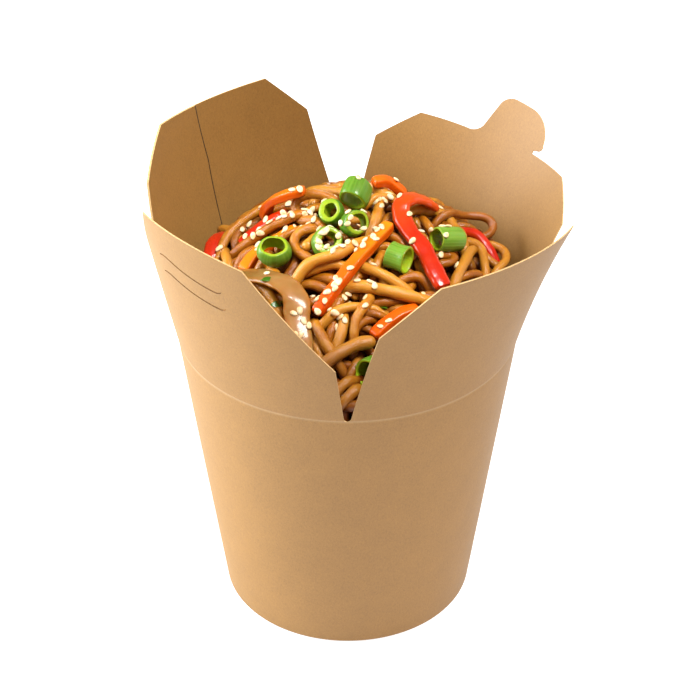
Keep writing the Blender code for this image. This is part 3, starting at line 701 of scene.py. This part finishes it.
# ---- the heap and its noodles -------------------------------------------------------------------
def heap_top(right, away):
    """Height of the heap, mm: a peak behind the axis that falls, with the 1.5th power, to a tilted rim.

    k is the share of the way from the peak to the rim; it solves |peak (1 - k) + rim k| for the point.
    """
    dx, dy = np.asarray(right, float), np.asarray(away, float) - HEAP_PEAK_AWAY
    d2 = np.maximum(dx * dx + dy * dy, 1e-6)
    p, r2 = HEAP_PEAK_AWAY, HEAP_RADIUS ** 2
    q = (-p * dy + np.sqrt(np.maximum(p * p * dy * dy - d2 * (p * p - r2), 0.0))) / d2
    k = np.clip(1.0 / q, 0.0, 1.15)
    angle = np.arctan2(dy * q + p, dx * q)
    rim = HEAP_RIM + HEAP_RIM_AWAY * np.sin(angle) + HEAP_RIM_RIGHT * np.cos(angle)
    return HEAP_PEAK - (HEAP_PEAK - rim) * k ** HEAP_CURVE


def dive(places):
    """The places of a laid noodle with both ends led on and down into the heap.

    An end whose lift is over 1.2 mm is meant to be seen, so it stays as it is.
    """
    p = np.array(places, float)
    for flip in (False, True):
        q = p[::-1] if flip else p
        if q[-1, 2] < 1.2:
            on = unit(q[-1, :2] - q[-2, :2])
            more = np.array([[*(q[-1, :2] + on * 2.8), q[-1, 2] - 2.2], [*(q[-1, :2] + on * 5.0), q[-1, 2] - 6.0]])
            far = np.maximum(np.hypot(more[:, 0], more[:, 1]) / (HEAP_RADIUS - 2.0), 1.0)
            more[:, :2] /= far[:, None]
            q = np.vstack([q, more])
        p = q[::-1] if flip else q
    return p


def wander(rng, length, spacing):
    """A line that wanders inside the heap's rim: its heading turns at a slowly changing rate."""
    angle, reach = rng.uniform(0.0, 2.0 * math.pi), HEAP_RADIUS * math.sqrt(rng.uniform(0.0, 0.95))
    x, y = reach * math.cos(angle), reach * math.sin(angle)
    heading, turn = rng.uniform(0.0, 2.0 * math.pi), 0.0
    line = []
    for _ in range(int(length / spacing)):
        line.append((x, y))
        turn = 0.9 * turn + rng.normal(0.0, 0.045)
        out = math.hypot(x, y) / HEAP_RADIUS
        if out > 0.82:
            side = x * math.sin(heading) - y * math.cos(heading)
            turn += math.copysign(0.09 * (out - 0.8) * 6.0, -side) * -1.0
        turn = max(-0.28, min(0.28, turn))
        heading += turn
        x += spacing * math.cos(heading)
        y += spacing * math.sin(heading)
        far = math.hypot(x, y)
        if far > HEAP_RADIUS - 0.5:
            x, y = x * (HEAP_RADIUS - 0.5) / far, y * (HEAP_RADIUS - 0.5) / far
    return np.array(line)


def vegetable_points():
    """Spheres that fill the vegetables, for the noodles to lie against: (x, y, z, radius)."""
    spheres = []
    for centre, facing, outer, wall, length, _, _ in SPRING_ONIONS:
        axis = unit(np.array(facing, float))
        side = unit(np.cross(axis, [0.31, 0.2, 0.93]))
        other = np.cross(axis, side)
        radius = 1.3
        a = np.linspace(0.0, 2.0 * np.pi, 14, endpoint=False)
        for k in np.linspace(-length / 2.0 + radius, length / 2.0 - radius, max(2, int(length / 2.0))):
            ring = np.array(centre) + axis * k + (outer - radius) * (np.cos(a)[:, None] * side + np.sin(a)[:, None] * other)
            spheres.append(np.column_stack([ring, np.full(len(a), radius)]))
    for line, width, thickness in CARROTS + RED_PEPPERS + [ONION_STRIP]:
        p = smooth_line(line, 1.5)
        side = unit(np.cross(np.gradient(p, axis=0), [0.0, 0.0, 1.0]))
        radius = thickness / 2.0 + 0.2
        for k in (-1.0, 0.0, 1.0):
            q = p + side * k * max(width / 2.0 - radius, 0.0)
            spheres.append(np.column_stack([q, np.full(len(q), radius)]))
    return np.vstack(spheres)


def settle(points, radius, strand, freedom, ceiling, solid, rounds):
    """Push strands apart until they lie against each other.

    Each round pulls points a little to where they were laid, keeps neighbours on a strand at their
    spacing and nearly straight, pushes points of two strands that are nearer than their radii apart,
    and keeps all inside the flaps, over the core and under the vegetables.
    """
    laid = points.copy()
    n = len(points)
    link = np.nonzero(strand[:-1] == strand[1:])[0]
    rest = np.linalg.norm(points[link + 1] - points[link], axis=1)
    inner = link[1:][link[1:] == link[:-1] + 1]
    everything = np.vstack([points, solid[:, :3]])
    sizes = np.concatenate([radius, solid[:, 3]])
    for step in range(rounds):
        if step % 5 == 0:
            everything[:n] = points
            a, b = points.astype(np.float32), everything.astype(np.float32)
            squares = (a * a).sum(1)[:, None] + (b * b).sum(1)[None, :] - 2.0 * a @ b.T
            near = squares < (radius[:, None] + sizes[None, :] + 2.5) ** 2
            i, j = np.nonzero(near)
            keep = (j > i) & ((j >= n) | (np.abs(j - i) > 5) | (strand[i] != strand[np.minimum(j, n - 1)]))
            i, j = i[keep], j[keep]
            fixed = j >= n
            reach = radius[i] + sizes[j]
            share = np.where(fixed, 1.0, freedom[i] / (freedom[i] + freedom[np.minimum(j, n - 1)]))
        everything[:n] = points
        gap = points[i] - everything[j]
        gap[fixed, 2] = -np.abs(gap[fixed, 2]) - 0.15
        distance = np.maximum(np.linalg.norm(gap, axis=1), 1e-6)
        push = gap * (np.maximum(reach - distance, 0.0) / distance * 0.6)[:, None]
        moved = np.zeros_like(points)
        for axis in range(3):
            moved[:, axis] += np.bincount(i, push[:, axis] * share, n)
            moved[:, axis] -= np.bincount(np.minimum(j, n - 1), np.where(fixed, 0.0, push[:, axis] * (1.0 - share)), n)
        points = points + np.clip(moved, -1.2, 1.2)
        middle = 0.5 * (points[inner - 1] + points[inner + 1])
        points[inner] += 0.22 * (middle - points[inner])
        points += (laid - points) * (0.10 * (1.0 - freedom) + 0.012)[:, None]
        for _ in range(2):
            span = points[link + 1] - points[link]
            size = np.maximum(np.linalg.norm(span, axis=1), 1e-6)
            pull = span * ((size - rest) / size * 0.45)[:, None]
            np.add.at(points, link, pull)
            np.add.at(points, link + 1, -pull)
        top = heap_top(points[:, 0], points[:, 1])
        points[:, 2] = np.clip(points[:, 2], top - CORE_DEPTH + radius * 0.4, top + ceiling)
        far = np.hypot(points[:, 0], points[:, 1])
        sector = np.abs((np.arctan2(points[:, 1], points[:, 0]) / (np.pi / 2.0)) % 1.0 - 0.5)
        slack = 0.2 * np.maximum(points[:, 2] - CREASE_HEIGHT - 6.0, 0.0) * np.clip(sector * 8.0 - 0.6, 0.0, 1.0)
        limit = HEAP_RADIUS + 0.5 + slack - radius
        points[:, :2] *= np.minimum(1.0, limit / np.maximum(far, 1e-6))[:, None]
    return points


def lay_noodles(settings):
    """All noodle lines in the food's frame after settling: a list of (points, radius, tone, laid one by one)."""
    rng = np.random.default_rng(11)
    spacing = 1.8
    lines, sizes, free, lift_limit = [], [], [], []
    for radius, places in LAID_NOODLES:
        line = smooth_line(dive(places), spacing)
        line[:, 2] += heap_top(line[:, 0], line[:, 1])
        lines.append(line)
        sizes.append(radius * rng.uniform(0.97, 1.03))
        free.append(0.18)
        lift_limit.append(9.0)
    for index in range(settings.hidden_count):
        flat = wander(rng, rng.uniform(55.0, 130.0), spacing)
        along = np.arange(len(flat)) * spacing
        wave = 0.5 + 0.5 * np.sin(2.0 * np.pi * along / rng.uniform(26.0, 48.0) + rng.uniform(0.0, 6.3))
        height = heap_top(flat[:, 0], flat[:, 1]) - 1.8 - 6.0 * wave * rng.uniform(0.4, 1.0)
        lines.append(np.column_stack([flat, height]))
        sizes.append(settings.radius / MM * rng.uniform(0.85, 1.12))
        free.append(1.0)
        lift_limit.append(-0.4)
    for quarter in (1, 2, 3):
        c, s = math.cos(quarter * math.pi / 2.0), math.sin(quarter * math.pi / 2.0)
        for radius, places in NOTCH_NOODLES:
            line = smooth_line(np.array(places, float), spacing)
            line[:, :2] = line[:, :2] @ np.array([[c, s], [-s, c]])
            line[:, 2] += heap_top(line[:, 0], line[:, 1])
            lines.append(line)
            sizes.append(radius * rng.uniform(0.95, 1.05))
            free.append(0.2)
            lift_limit.append(3.0)
    strand = np.concatenate([np.full(len(line), k) for k, line in enumerate(lines)])
    radius = np.array(sizes)[strand]
    settled = settle(np.vstack(lines), radius, strand, np.array(free)[strand], np.array(lift_limit)[strand],
                     vegetable_points(), 60)
    for _ in range(3):
        between = np.nonzero((strand[:-2] == strand[2:]))[0] + 1
        settled[between] = 0.25 * settled[between - 1] + 0.5 * settled[between] + 0.25 * settled[between + 1]
    tones = rng.uniform(0.0, 1.0, len(lines))
    tones[:len(LAID_NOODLES)] += [np.clip(1.6 * (size - 1.55), 0.0, 0.7) for size, _ in LAID_NOODLES]
    return [(settled[strand == k], sizes[k], tones[k], k < len(LAID_NOODLES)) for k in range(len(lines))]


def tube(line, radius, sides, wobble=0.0, seed=0):
    """A round strand: rings across the line's direction, carried along without twist, domed at both ends.

    The radius swells and thins by wobble along the strand.  Returns the points, the upward part of each point's
    direction from the line, and the number of rings.
    """
    rng = np.random.default_rng(seed)
    direction = unit(np.gradient(line, axis=0))
    cap = np.array([0.97, 0.8, 0.45])
    size = np.full(len(line), radius)
    s = np.arange(len(line))
    size *= 1.0 + wobble * np.sin(s * rng.uniform(0.25, 0.5) + rng.uniform(0.0, 6.0))
    size *= 1.0 + 0.5 * wobble * np.sin(s * rng.uniform(0.9, 1.4) + rng.uniform(0.0, 6.0))
    head = line[0] - direction[0] * radius * cap[:, None]
    tail = line[-1] + direction[-1] * radius * cap[::-1, None]
    centre = np.vstack([head, line, tail])
    along = np.vstack([np.repeat(direction[:1], 3, 0), direction, np.repeat(direction[-1:], 3, 0)])
    shrink = np.sqrt(1.0 - cap ** 2)
    sizes = np.concatenate([size[0] * shrink, size, size[-1] * shrink[::-1]])
    side = unit(np.cross(along[0], [0.0, 0.0, 1.0]) + 1e-6)
    sides_at = [side]
    for k in range(1, len(centre)):
        side = unit(side - along[k] * (side @ along[k]))
        sides_at.append(side)
    side = np.array(sides_at)
    other = np.cross(along, side)
    a = np.linspace(0.0, 2.0 * np.pi, sides, endpoint=False)
    ring = np.cos(a)[None, :, None] * side[:, None] + np.sin(a)[None, :, None] * other[:, None]
    points = centre[:, None] + ring * sizes[:, None, None]
    return points.reshape(-1, 3), ring[..., 2].ravel(), len(centre)


def make_noodles(settings, finish):
    """Two pieces of joined strands: those laid one by one on top, and the tangle under them."""
    strands = lay_noodles(settings)
    for name, wanted in (("noodles_on_top", True), ("noodles_tangled", False)):
        points, quads, ends, tone, depth = [], [], [], [], []
        count = 0
        for k, (line, radius, shade, by_hand) in enumerate(strands):
            if by_hand != wanted:
                continue
            fine = smooth_line(line, 1.1 if by_hand else 1.4)
            sides = 12 if by_hand else 10
            made, upward, rows = tube(fine, radius, sides, 0.06, k)
            points.append(made)
            quads.append(grid_faces(rows, sides, count))
            ends.append(np.vstack([np.arange(sides)[::-1], np.arange(sides) + (rows - 1) * sides]) + count)
            tone.append(np.full(len(made), shade))
            # painted shade, added to depth: darker at the front notch, the left and the right where the flaps shade
            # the strands, darker in the tangle, and darker on each strand's underside
            shade = (2.4 * np.clip((-made[:, 1] - 30.0) / 16.0, 0.0, 1.0)
                     + 1.0 * np.clip((-made[:, 0] - 26.0) / 16.0, 0.0, 1.0)
                     + 1.2 * np.clip((made[:, 0] - 24.0) / 16.0, 0.0, 1.0) + (0.0 if by_hand else 0.4))
            under = 0.8 * (1.0 - upward)
            depth.append(np.clip(heap_top(made[:, 0], made[:, 1]) - made[:, 2] - 1.2, 0.0, 9.0) + shade + under)
            count += len(made)
        piece = new_piece(name, place(np.vstack(points), FOOD_TURN), [np.vstack(quads), np.vstack(ends)],
                          [finish], {"tone": np.concatenate(tone), "depth": np.concatenate(depth)}, sharp=80.0)
        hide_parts("noodle_heap")
        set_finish(piece, "noodle")
        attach(piece, "box")


def make_core(finish):
    """The dark core: a dome under the strands on a cone that fills the box down to its base."""
    sides, rings = 96, 40
    a = np.linspace(0.0, 2.0 * np.pi, sides, endpoint=False)
    share = np.linspace(0.02, 1.0, rings)[:, None]
    right, away = share * 57.6 * np.cos(a), share * 57.6 * np.sin(a)
    ripple = 1.3 * np.sin(0.9 * right + 1.5 * np.sin(0.35 * away)) * np.cos(0.8 * away)
    top = heap_top(right, away) - CORE_DEPTH + ripple
    dome = np.stack([right, away, top], axis=-1)
    base = 7.6
    side = [np.stack([r * np.cos(a), r * np.sin(a), z + 0.0 * a], axis=-1)
            for r, z in ((wall_inside(100.0) - 0.6, 100.0), (wall_inside(base) - 0.6, base), (1.0, base))]
    points = np.vstack([dome.reshape(-1, 3)] + side)
    rows = rings + 3
    ends = np.vstack([np.arange(sides), np.arange(sides)[::-1] + (rows - 1) * sides])
    core = new_piece("noodle_core", place(points, FOOD_TURN), [grid_faces(rows, sides)[:, ::-1], ends], [finish])
    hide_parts("noodle_heap")
    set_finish(core, "noodle")
    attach(core, "box")


# ---- vegetables ---------------------------------------------------------------------------------
def make_spring_onion(index, spec, finish):
    """A cut ring: its wall's outline (a rounded rectangle) is carried round a slightly lobed circle.

    The outer radius is R (1 + 0.05 cos 2a + 0.02 cos 5a) with fine ribs; both cuts slope a little.
    """
    centre, facing, outer, wall, length, pale, bulge = spec
    rng = np.random.default_rng(100 + index)
    sides = 96
    a = np.linspace(0.0, 2.0 * np.pi, sides, endpoint=False)
    lobes = 1.0 + 0.045 * np.cos(2 * a + rng.uniform(0, 6)) + 0.018 * np.cos(5 * a + rng.uniform(0, 6))
    ribs = 0.02 * np.sin(23 * a + 2.0 * np.sin(5 * a)) * (0.6 + 0.4 * np.sin(3 * a))
    half = length / 2.0
    h = np.concatenate([np.linspace(-half + 0.25, half - 0.25, 9), [half - 0.06, half, half, half - 0.06],
                        np.linspace(half - 0.25, -half + 0.25, 7), [-half + 0.06, -half, -half, -half + 0.06]])
    inset = np.concatenate([np.zeros(9), [0.08, 0.25, wall - 0.25, wall - 0.08], np.full(7, wall),
                            [wall - 0.08, wall - 0.25, 0.25, 0.08]])
    inside = np.concatenate([np.zeros(9), [0.3, 0.8, 1.0, 1.0], np.ones(7), [1.0, 1.0, 0.8, 0.3]])
    belly = 1.0 - bulge * (h / half) ** 2
    thick = 1.0 + 0.25 * np.sin(a + rng.uniform(0, 6)) * (inset > wall * 0.5)[:, None]
    radius = outer * 0.97 * belly[:, None] * lobes - inset[:, None] * thick + ribs * (inside < 0.5)[:, None]
    slope = (0.06 * np.cos(a + rng.uniform(0, 6)))[None, :] * outer * np.sign(h)[:, None]
    axis = unit(np.array(facing, float))
    side = unit(np.cross(axis, [0.31, 0.2, 0.93]))
    other = np.cross(axis, side)
    points = (np.array(centre) + axis * (h[:, None] + slope - 0.06 * outer)[..., None]
              + radius[..., None] * (np.cos(a)[:, None] * side + np.sin(a)[:, None] * other))
    rows = len(h)
    faces = grid_faces(rows + 1, sides) % (rows * sides)
    vein = 0.5 + 0.2 * (np.sin(19 * a + 2.0 * np.sin(4 * a) + index) + np.sin(33 * a + 3.0 * np.sin(3 * a))
                        + 0.8 * np.sin(7 * a + index))
    attributes = {"inside": np.repeat(inside, sides), "vein": np.tile(vein, rows),
                  "pale": np.full(rows * sides, pale)}
    ring = new_piece(f"spring_onion_ring_{index}", place(points.reshape(-1, 3), FOOD_TURN), [faces], [finish],
                     attributes, sharp=60.0)
    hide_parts(f"spring_onion_{index}")
    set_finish(ring, "spring_onion")
    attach(ring, "box")


def make_strip(name, node, spec, finish, slot_name, power, tints, ridges=0.0, crown=0.0, taper=(0.55, 0.55)):
    """A cut strip: a superellipse section of that power carried along a smooth line, domed at its ends.

    crown lifts the section's middle, ridges adds waves across it, and taper narrows each end.
    """
    line, width, thickness = spec
    sides = 40
    p = smooth_line(line, 0.8)
    along = unit(np.gradient(p, axis=0))
    side = unit(np.cross(along, [0.0, 0.0, 1.0]))
    up = np.cross(side, along)
    s = np.concatenate([[0.0], np.cumsum(np.linalg.norm(np.diff(p, axis=0), axis=1))])
    ends = np.minimum((s + 0.35) / 2.6, 1.0), np.minimum((s[-1] - s + 0.35) / 2.6, 1.0)
    grow = [t + (1.0 - t) * np.sqrt(1.0 - (1.0 - e) ** 2) for t, e in zip(taper, ends)]
    scale = np.minimum(grow[0], grow[1]) * (1.0 + 0.035 * np.sin(s * 0.55) + 0.02 * np.sin(s * 1.3 + 1.0))
    a = np.linspace(0.0, 2.0 * np.pi, sides, endpoint=False)
    c, d = np.cos(a), np.sin(a)
    u = np.sign(c) * np.abs(c) ** (2.0 / power)
    v = np.sign(d) * np.abs(d) ** (2.0 / power)
    lift = crown * (1.0 - u * u) - 0.5 * crown + ridges * np.cos(u * 9.0) * (v > 0)
    x = (u * width * 0.49)[None, :] * scale[:, None]
    y = (v * thickness * 0.47)[None, :] * scale[:, None] + lift[None, :]
    points = p[:, None] + side[:, None] * x[..., None] + up[:, None] * y[..., None]
    rows = len(p)
    # side marks the flanks and, more weakly, the underside; the carrot paints it as shade, the pepper and onion as
    # their cut edges
    flank = np.clip(1.0 - np.abs(v) * 1.15, 0.0, 1.0) ** 0.7 + 0.4 * (v < -0.6)
    tint = np.interp(s, s[-1] * np.linspace(0.0, 1.0, len(tints)), tints)
    attributes = {"side": np.tile(np.clip(flank, 0, 1), rows), "tint": np.repeat(tint, sides)}
    caps = np.vstack([np.arange(sides)[::-1], np.arange(sides) + (rows - 1) * sides])
    faces = grid_faces(rows, sides)[:, ::-1]
    strip = new_piece(name, place(points.reshape(-1, 3), FOOD_TURN), [faces, caps[:, ::-1]], [finish], attributes,
                      sharp=75.0)
    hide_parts(node)
    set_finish(strip, slot_name)
    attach(strip, "box")


def food_surface():
    """A ray target of everything the seeds can lie on."""
    points, faces, first = [], [], 0
    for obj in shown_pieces():
        if obj.get("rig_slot") in (None, "kraft_paper", "sesame"):
            continue
        mesh = obj.data
        co = np.empty(len(mesh.vertices) * 3, np.float32)
        mesh.vertices.foreach_get("co", co)
        mesh.calc_loop_triangles()
        tri = np.empty(len(mesh.loop_triangles) * 3, np.int32)
        mesh.loop_triangles.foreach_get("vertices", tri)
        points.append(co.reshape(-1, 3))
        faces.append(tri.reshape(-1, 3) + first)
        first += len(mesh.vertices)
    return BVHTree.FromPolygons(np.vstack(points).tolist(), np.vstack(faces).tolist())


def land(surface, spots):
    """Drop vertical rays at spots (right, away) in mm: hit points and normals in metres."""
    hits, normals = [], []
    for x, y, _ in place(np.column_stack([spots, np.zeros(len(spots))]), FOOD_TURN):
        point, normal, _, _ = surface.ray_cast(Vector((x, y, 0.2)), Vector((0.0, 0.0, -1.0)))
        if point is not None and normal.z > 0.15:
            hits.append(point)
            normals.append(normal)
    return np.array(hits), np.array(normals)


def scatter(name, hits, normals, shape, faces, caps, finish, slot_name, rng, tilt, sizes, sink):
    """Copies of one small shape on a surface, each turned at random about the surface's normal."""
    n = len(hits)
    up = unit(normals + rng.normal(0.0, tilt, (n, 3)))
    side = unit(np.cross(up, rng.normal(0.0, 1.0, (n, 3))))
    other = np.cross(up, side)
    scale = rng.uniform(*sizes, n)[:, None, None]
    points = (shape[None, :, 0:1] * side[:, None] + shape[None, :, 1:2] * other[:, None]
              + (shape[None, :, 2:3] - sink) * up[:, None]) * scale * MM + hits[:, None]
    count = len(shape)
    first = (np.arange(n) * count)[:, None, None]
    piece = new_piece(name, points.reshape(-1, 3),
                      [(faces[None] + first).reshape(-1, faces.shape[1]), (caps[None] + first).reshape(-1, caps.shape[1])],
                      [finish], sharp=80.0)
    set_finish(piece, slot_name)
    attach(piece, "box")


def seed_shape():
    """A sesame seed: an ellipsoid 2.9 x 2.0 x 1.0 mm whose one end is narrower."""
    rows, sides = 9, 12
    v = np.linspace(0.06, 0.97, rows) * np.pi
    a = np.linspace(0.0, 2.0 * np.pi, sides, endpoint=False)
    x = -1.45 * np.cos(v)[:, None] + 0.0 * a
    narrow = (1.0 - 0.22 * np.cos(v) * -1.0)[:, None]
    y = 1.0 * np.sin(v)[:, None] * narrow * np.cos(a)
    z = 0.5 * np.sin(v)[:, None] * narrow * np.sin(a)
    points = np.stack([x, y, z], axis=-1).reshape(-1, 3)
    caps = np.vstack([np.arange(sides), np.arange(sides)[::-1] + (rows - 1) * sides])
    return points, grid_faces(rows, sides)[:, ::-1], caps


def make_sesame(settings, finish):
    """Sesame seeds in clusters, each resting on what lies under it."""
    rng = np.random.default_rng(5)
    surface = food_surface()
    spots = np.vstack([np.array(where) + rng.normal(0.0, spread * 0.7, (int(share * settings.count), 2))
                       for where, spread, share in SESAME_CLUSTERS])
    spots = spots[np.hypot(spots[:, 0], spots[:, 1]) < HEAP_RADIUS - 2.0]
    apart = np.linalg.norm(spots[:, None] - spots[None], axis=-1) < 1.5
    spots = spots[~np.any(np.tril(apart, -1), axis=1)]
    hits, normals = land(surface, spots)
    shape, faces, caps = seed_shape()
    scatter("sesame_seeds", hits, normals, shape, faces, caps, finish, "noodle", rng, 0.12, (0.85, 1.1), -0.25)


def make_herbs(finish):
    """Scraps of spring onion leaf: curved flakes about 4 x 2 mm with pointed ends."""
    rng = np.random.default_rng(8)
    rows, sides = 5, 14
    v = np.linspace(0.1, 0.9, rows) * np.pi
    a = np.linspace(0.0, 2.0 * np.pi, sides, endpoint=False)
    x = -2.2 * np.cos(v)[:, None] + 0.5 * np.cos(2 * a)
    y = 1.2 * np.sin(v)[:, None] * np.cos(a)
    z = 0.16 * np.sin(v)[:, None] ** 0.5 * np.sin(a) + 0.16 * y * y - 0.08 * x * x
    shape = np.stack([x, y, z], axis=-1).reshape(-1, 3)
    caps = np.vstack([np.arange(sides), np.arange(sides)[::-1] + (rows - 1) * sides])
    hits, normals = land(food_surface(), np.array(LEAF_SPOTS, float))
    scatter("spring_onion_chips", hits, normals, shape, grid_faces(rows, sides)[:, ::-1], caps, finish, "spring_onion",
            rng, 0.25, (0.7, 1.2), -0.3)


# ---- settings -----------------------------------------------------------------------------------
class NoodleBoxPaper(bpy.types.PropertyGroup):
    """Sizes and colour of the board."""
    thickness: FloatProperty(name="Board", description="Thickness of the board", default=0.45 * MM,
                             subtype="DISTANCE", unit="LENGTH")
    crease_depth: FloatProperty(name="Crease", description="How deep the crease is pressed", default=0.14 * MM,
                                subtype="DISTANCE", unit="LENGTH")
    colour: FloatVectorProperty(name="Kraft", description="Colour of the board's face", subtype="COLOR",
                                size=3, min=0.0, max=1.0, default=linear("8F6730")[:3])


class NoodleBoxFood(bpy.types.PropertyGroup):
    """Sizes and counts of the noodles and the seeds."""
    radius: FloatProperty(name="Noodle radius", description="Radius of a hidden strand", default=1.8 * MM,
                          subtype="DISTANCE", unit="LENGTH")
    hidden_count: IntProperty(name="Hidden strands", description="How many strands make the tangle",
                              default=62, min=10, max=140)
    count: IntProperty(name="Sesame", description="How many sesame seeds", default=300, min=0, max=900)


class NoodleBoxLight(bpy.types.PropertyGroup):
    """Strengths of the studio lights."""
    top: FloatProperty(name="Top", description="Power of the light overhead", default=20.0, unit="POWER")
    key: FloatProperty(name="Key", description="Power of the light at the left", default=41.0, unit="POWER")
    rim: FloatProperty(name="Rim", description="Power of the light behind at the right", default=2.5, unit="POWER")
    table: FloatProperty(name="Table", description="Glow of the white acrylic table", default=0.8)
    room: FloatProperty(name="Room", description="Brightness of the pale room", default=0.38)


# ---- operators ----------------------------------------------------------------------------------
class NOODLEBOX_OT_paper(bpy.types.Operator):
    """Make the wall and the four flaps, and give the base the board's material"""
    bl_idname = "noodlebox.paper"
    bl_label = "Paper box"

    def execute(self, context):
        settings = context.scene.noodle_box_paper
        board, edge, shadow = kraft_board(settings), board_edge(), slit_shadow()
        make_wall(settings, board)
        for flap in FLAPS:
            make_flap(flap, settings, board, edge, shadow)
        for material_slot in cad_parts["base_disc"].material_slots:
            material_slot.material = board
        return {"FINISHED"}


class NOODLEBOX_OT_noodles(bpy.types.Operator):
    """Lay and settle the noodles over their core"""
    bl_idname = "noodlebox.noodles"
    bl_label = "Noodles"

    def execute(self, context):
        settings = context.scene.noodle_box_food
        make_noodles(settings, noodle_finish(settings))
        make_core(painted_shade_core())
        return {"FINISHED"}


class NOODLEBOX_OT_vegetables(bpy.types.Operator):
    """Make the spring onion, carrot, red pepper and onion"""
    bl_idname = "noodlebox.vegetables"
    bl_label = "Vegetables"

    def execute(self, context):
        green = onion_green()
        for index, spec in enumerate(SPRING_ONIONS, 1):
            make_spring_onion(index, spec, green)
        orange = carrot_flesh()
        for index, spec in enumerate(CARROTS, 1):
            make_strip(f"carrot_stick_{index}", f"carrot_strip_{index}", spec, orange, "carrot", 5.0,
                       CARROT_TINTS[index - 1])
        red = pepper_skin()
        for index, spec in enumerate(RED_PEPPERS, 1):
            make_strip(f"red_pepper_slice_{index}", f"red_pepper_strip_{index}", spec, red, "red_pepper", 2.8,
                       PEPPER_TINTS[index - 1], 0.06, 0.25, (0.7, 0.7))
        make_strip("onion_slice", "onion_strip", ONION_STRIP, onion_flesh(), "onion", 2.6, (0.1, 0.2, 0.8, 0.9, 1.0),
                   0.03, 0.3, (0.5, 0.6))
        return {"FINISHED"}


class NOODLEBOX_OT_sprinkles(bpy.types.Operator):
    """Scatter the sesame seeds and the green chips"""
    bl_idname = "noodlebox.sprinkles"
    bl_label = "Sprinkles"

    def execute(self, context):
        make_herbs(bpy.data.materials["spring_onion_leaf"])
        make_sesame(context.scene.noodle_box_food, sesame_seed())
        return {"FINISHED"}


def aimed(obj, place_mm, target_mm):
    """Put a light or camera at a place and point it at a target; both (right, away, up) in mm."""
    a, b = (Vector(place(np.array(p, float), FOOD_TURN)) for p in (place_mm, target_mm))
    obj.location = a
    obj.rotation_mode = "QUATERNION"
    obj.rotation_quaternion = (b - a).to_track_quat("-Z", "Y")
    bpy.context.scene.collection.objects.link(obj)


class NOODLEBOX_OT_stage(bpy.types.Operator):
    """Make the pale floor, the lights and the camera"""
    bl_idname = "noodlebox.stage"
    bl_label = "Stage"

    def execute(self, context):
        settings = context.scene.noodle_box_light
        reach = 4.0
        corners = np.array([(-reach, -reach, 0), (reach, -reach, 0), (reach, reach, 0), (-reach, reach, 0)]) - (0, 0, 0.0002)
        white, _, _, _ = new_material("lit_white_acrylic", {
            "Base Color": (0.5, 0.5, 0.5, 1.0), "Roughness": 0.8, "Specular IOR Level": 0.2,
            "Emission Color": (1.0, 1.0, 1.0, 1.0), "Emission Strength": settings.table})
        floor = new_piece("floor", corners, [np.array([[0, 1, 2, 3]])], [white])
        floor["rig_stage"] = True
        for name, power, size, spot, tint in (("top_light", settings.top, 0.35, (330, -260, 1180), "FFFFFF"),
                                              ("key_light", settings.key, 0.9, (-1050, 90, 500), "ECF5FF"),
                                              ("rim_light", settings.rim, 0.9, (1000, 500, 400), "FFFFFF")):
            light = bpy.data.lights.new(name, "AREA")
            light.energy = power
            light.color = linear(tint)[:3]
            light.size = size
            aimed(bpy.data.objects.new(name, light), spot, (0, 0, 90))
        world = bpy.data.worlds.new("pale_room")
        world.use_nodes = True
        world.node_tree.nodes["Background"].inputs["Color"].default_value = linear("FFEDD2")
        world.node_tree.nodes["Background"].inputs["Strength"].default_value = settings.room
        context.scene.world = world
        context.scene.view_settings.view_transform = "Standard"
        lens = bpy.data.cameras.new("camera")
        lens.lens = 116.7
        lens.sensor_width = 36.0
        lens.clip_end = 20.0
        camera = bpy.data.objects.new("camera", lens)
        tilt = math.radians(34.61)
        aimed(camera, (0.82, -800.0 * math.cos(tilt), 96.7 + 800.0 * math.sin(tilt)), (0.82, 0.0, 96.7))
        context.scene.camera = camera
        return {"FINISHED"}


class NOODLEBOX_PT_panel(bpy.types.Panel):
    """The noodle box's settings and steps"""
    bl_label = "Noodle box"
    bl_idname = "NOODLEBOX_PT_panel"
    bl_space_type = "VIEW_3D"
    bl_region_type = "UI"
    bl_category = "Noodle box"

    def draw(self, context):
        for group, keys in (("noodle_box_paper", ("thickness", "crease_depth", "colour")),
                            ("noodle_box_food", ("radius", "hidden_count", "count")),
                            ("noodle_box_light", ("top", "key", "rim", "table", "room"))):
            for key in keys:
                self.layout.prop(getattr(context.scene, group), key)
        for step in STEPS:
            self.layout.operator(step.bl_idname)


STEPS = (NOODLEBOX_OT_paper, NOODLEBOX_OT_noodles, NOODLEBOX_OT_vegetables, NOODLEBOX_OT_sprinkles,
         NOODLEBOX_OT_stage)
GROUPS = {"noodle_box_paper": NoodleBoxPaper, "noodle_box_food": NoodleBoxFood, "noodle_box_light": NoodleBoxLight}


def register():
    """Register the settings, the steps and the panel."""
    for cls in (*GROUPS.values(), *STEPS, NOODLEBOX_PT_panel):
        bpy.utils.register_class(cls)
    for key, cls in GROUPS.items():
        setattr(bpy.types.Scene, key, PointerProperty(type=cls))


def unregister():
    """Take the settings, the steps and the panel away again."""
    for key in GROUPS:
        delattr(bpy.types.Scene, key)
    for cls in reversed((*GROUPS.values(), *STEPS, NOODLEBOX_PT_panel)):
        bpy.utils.unregister_class(cls)


def main():
    register()
    bpy.ops.noodlebox.paper()
    bpy.ops.noodlebox.noodles()
    bpy.ops.noodlebox.vegetables()
    bpy.ops.noodlebox.sprinkles()
    bpy.ops.noodlebox.stage()


if __name__ == "__main__":
    main()
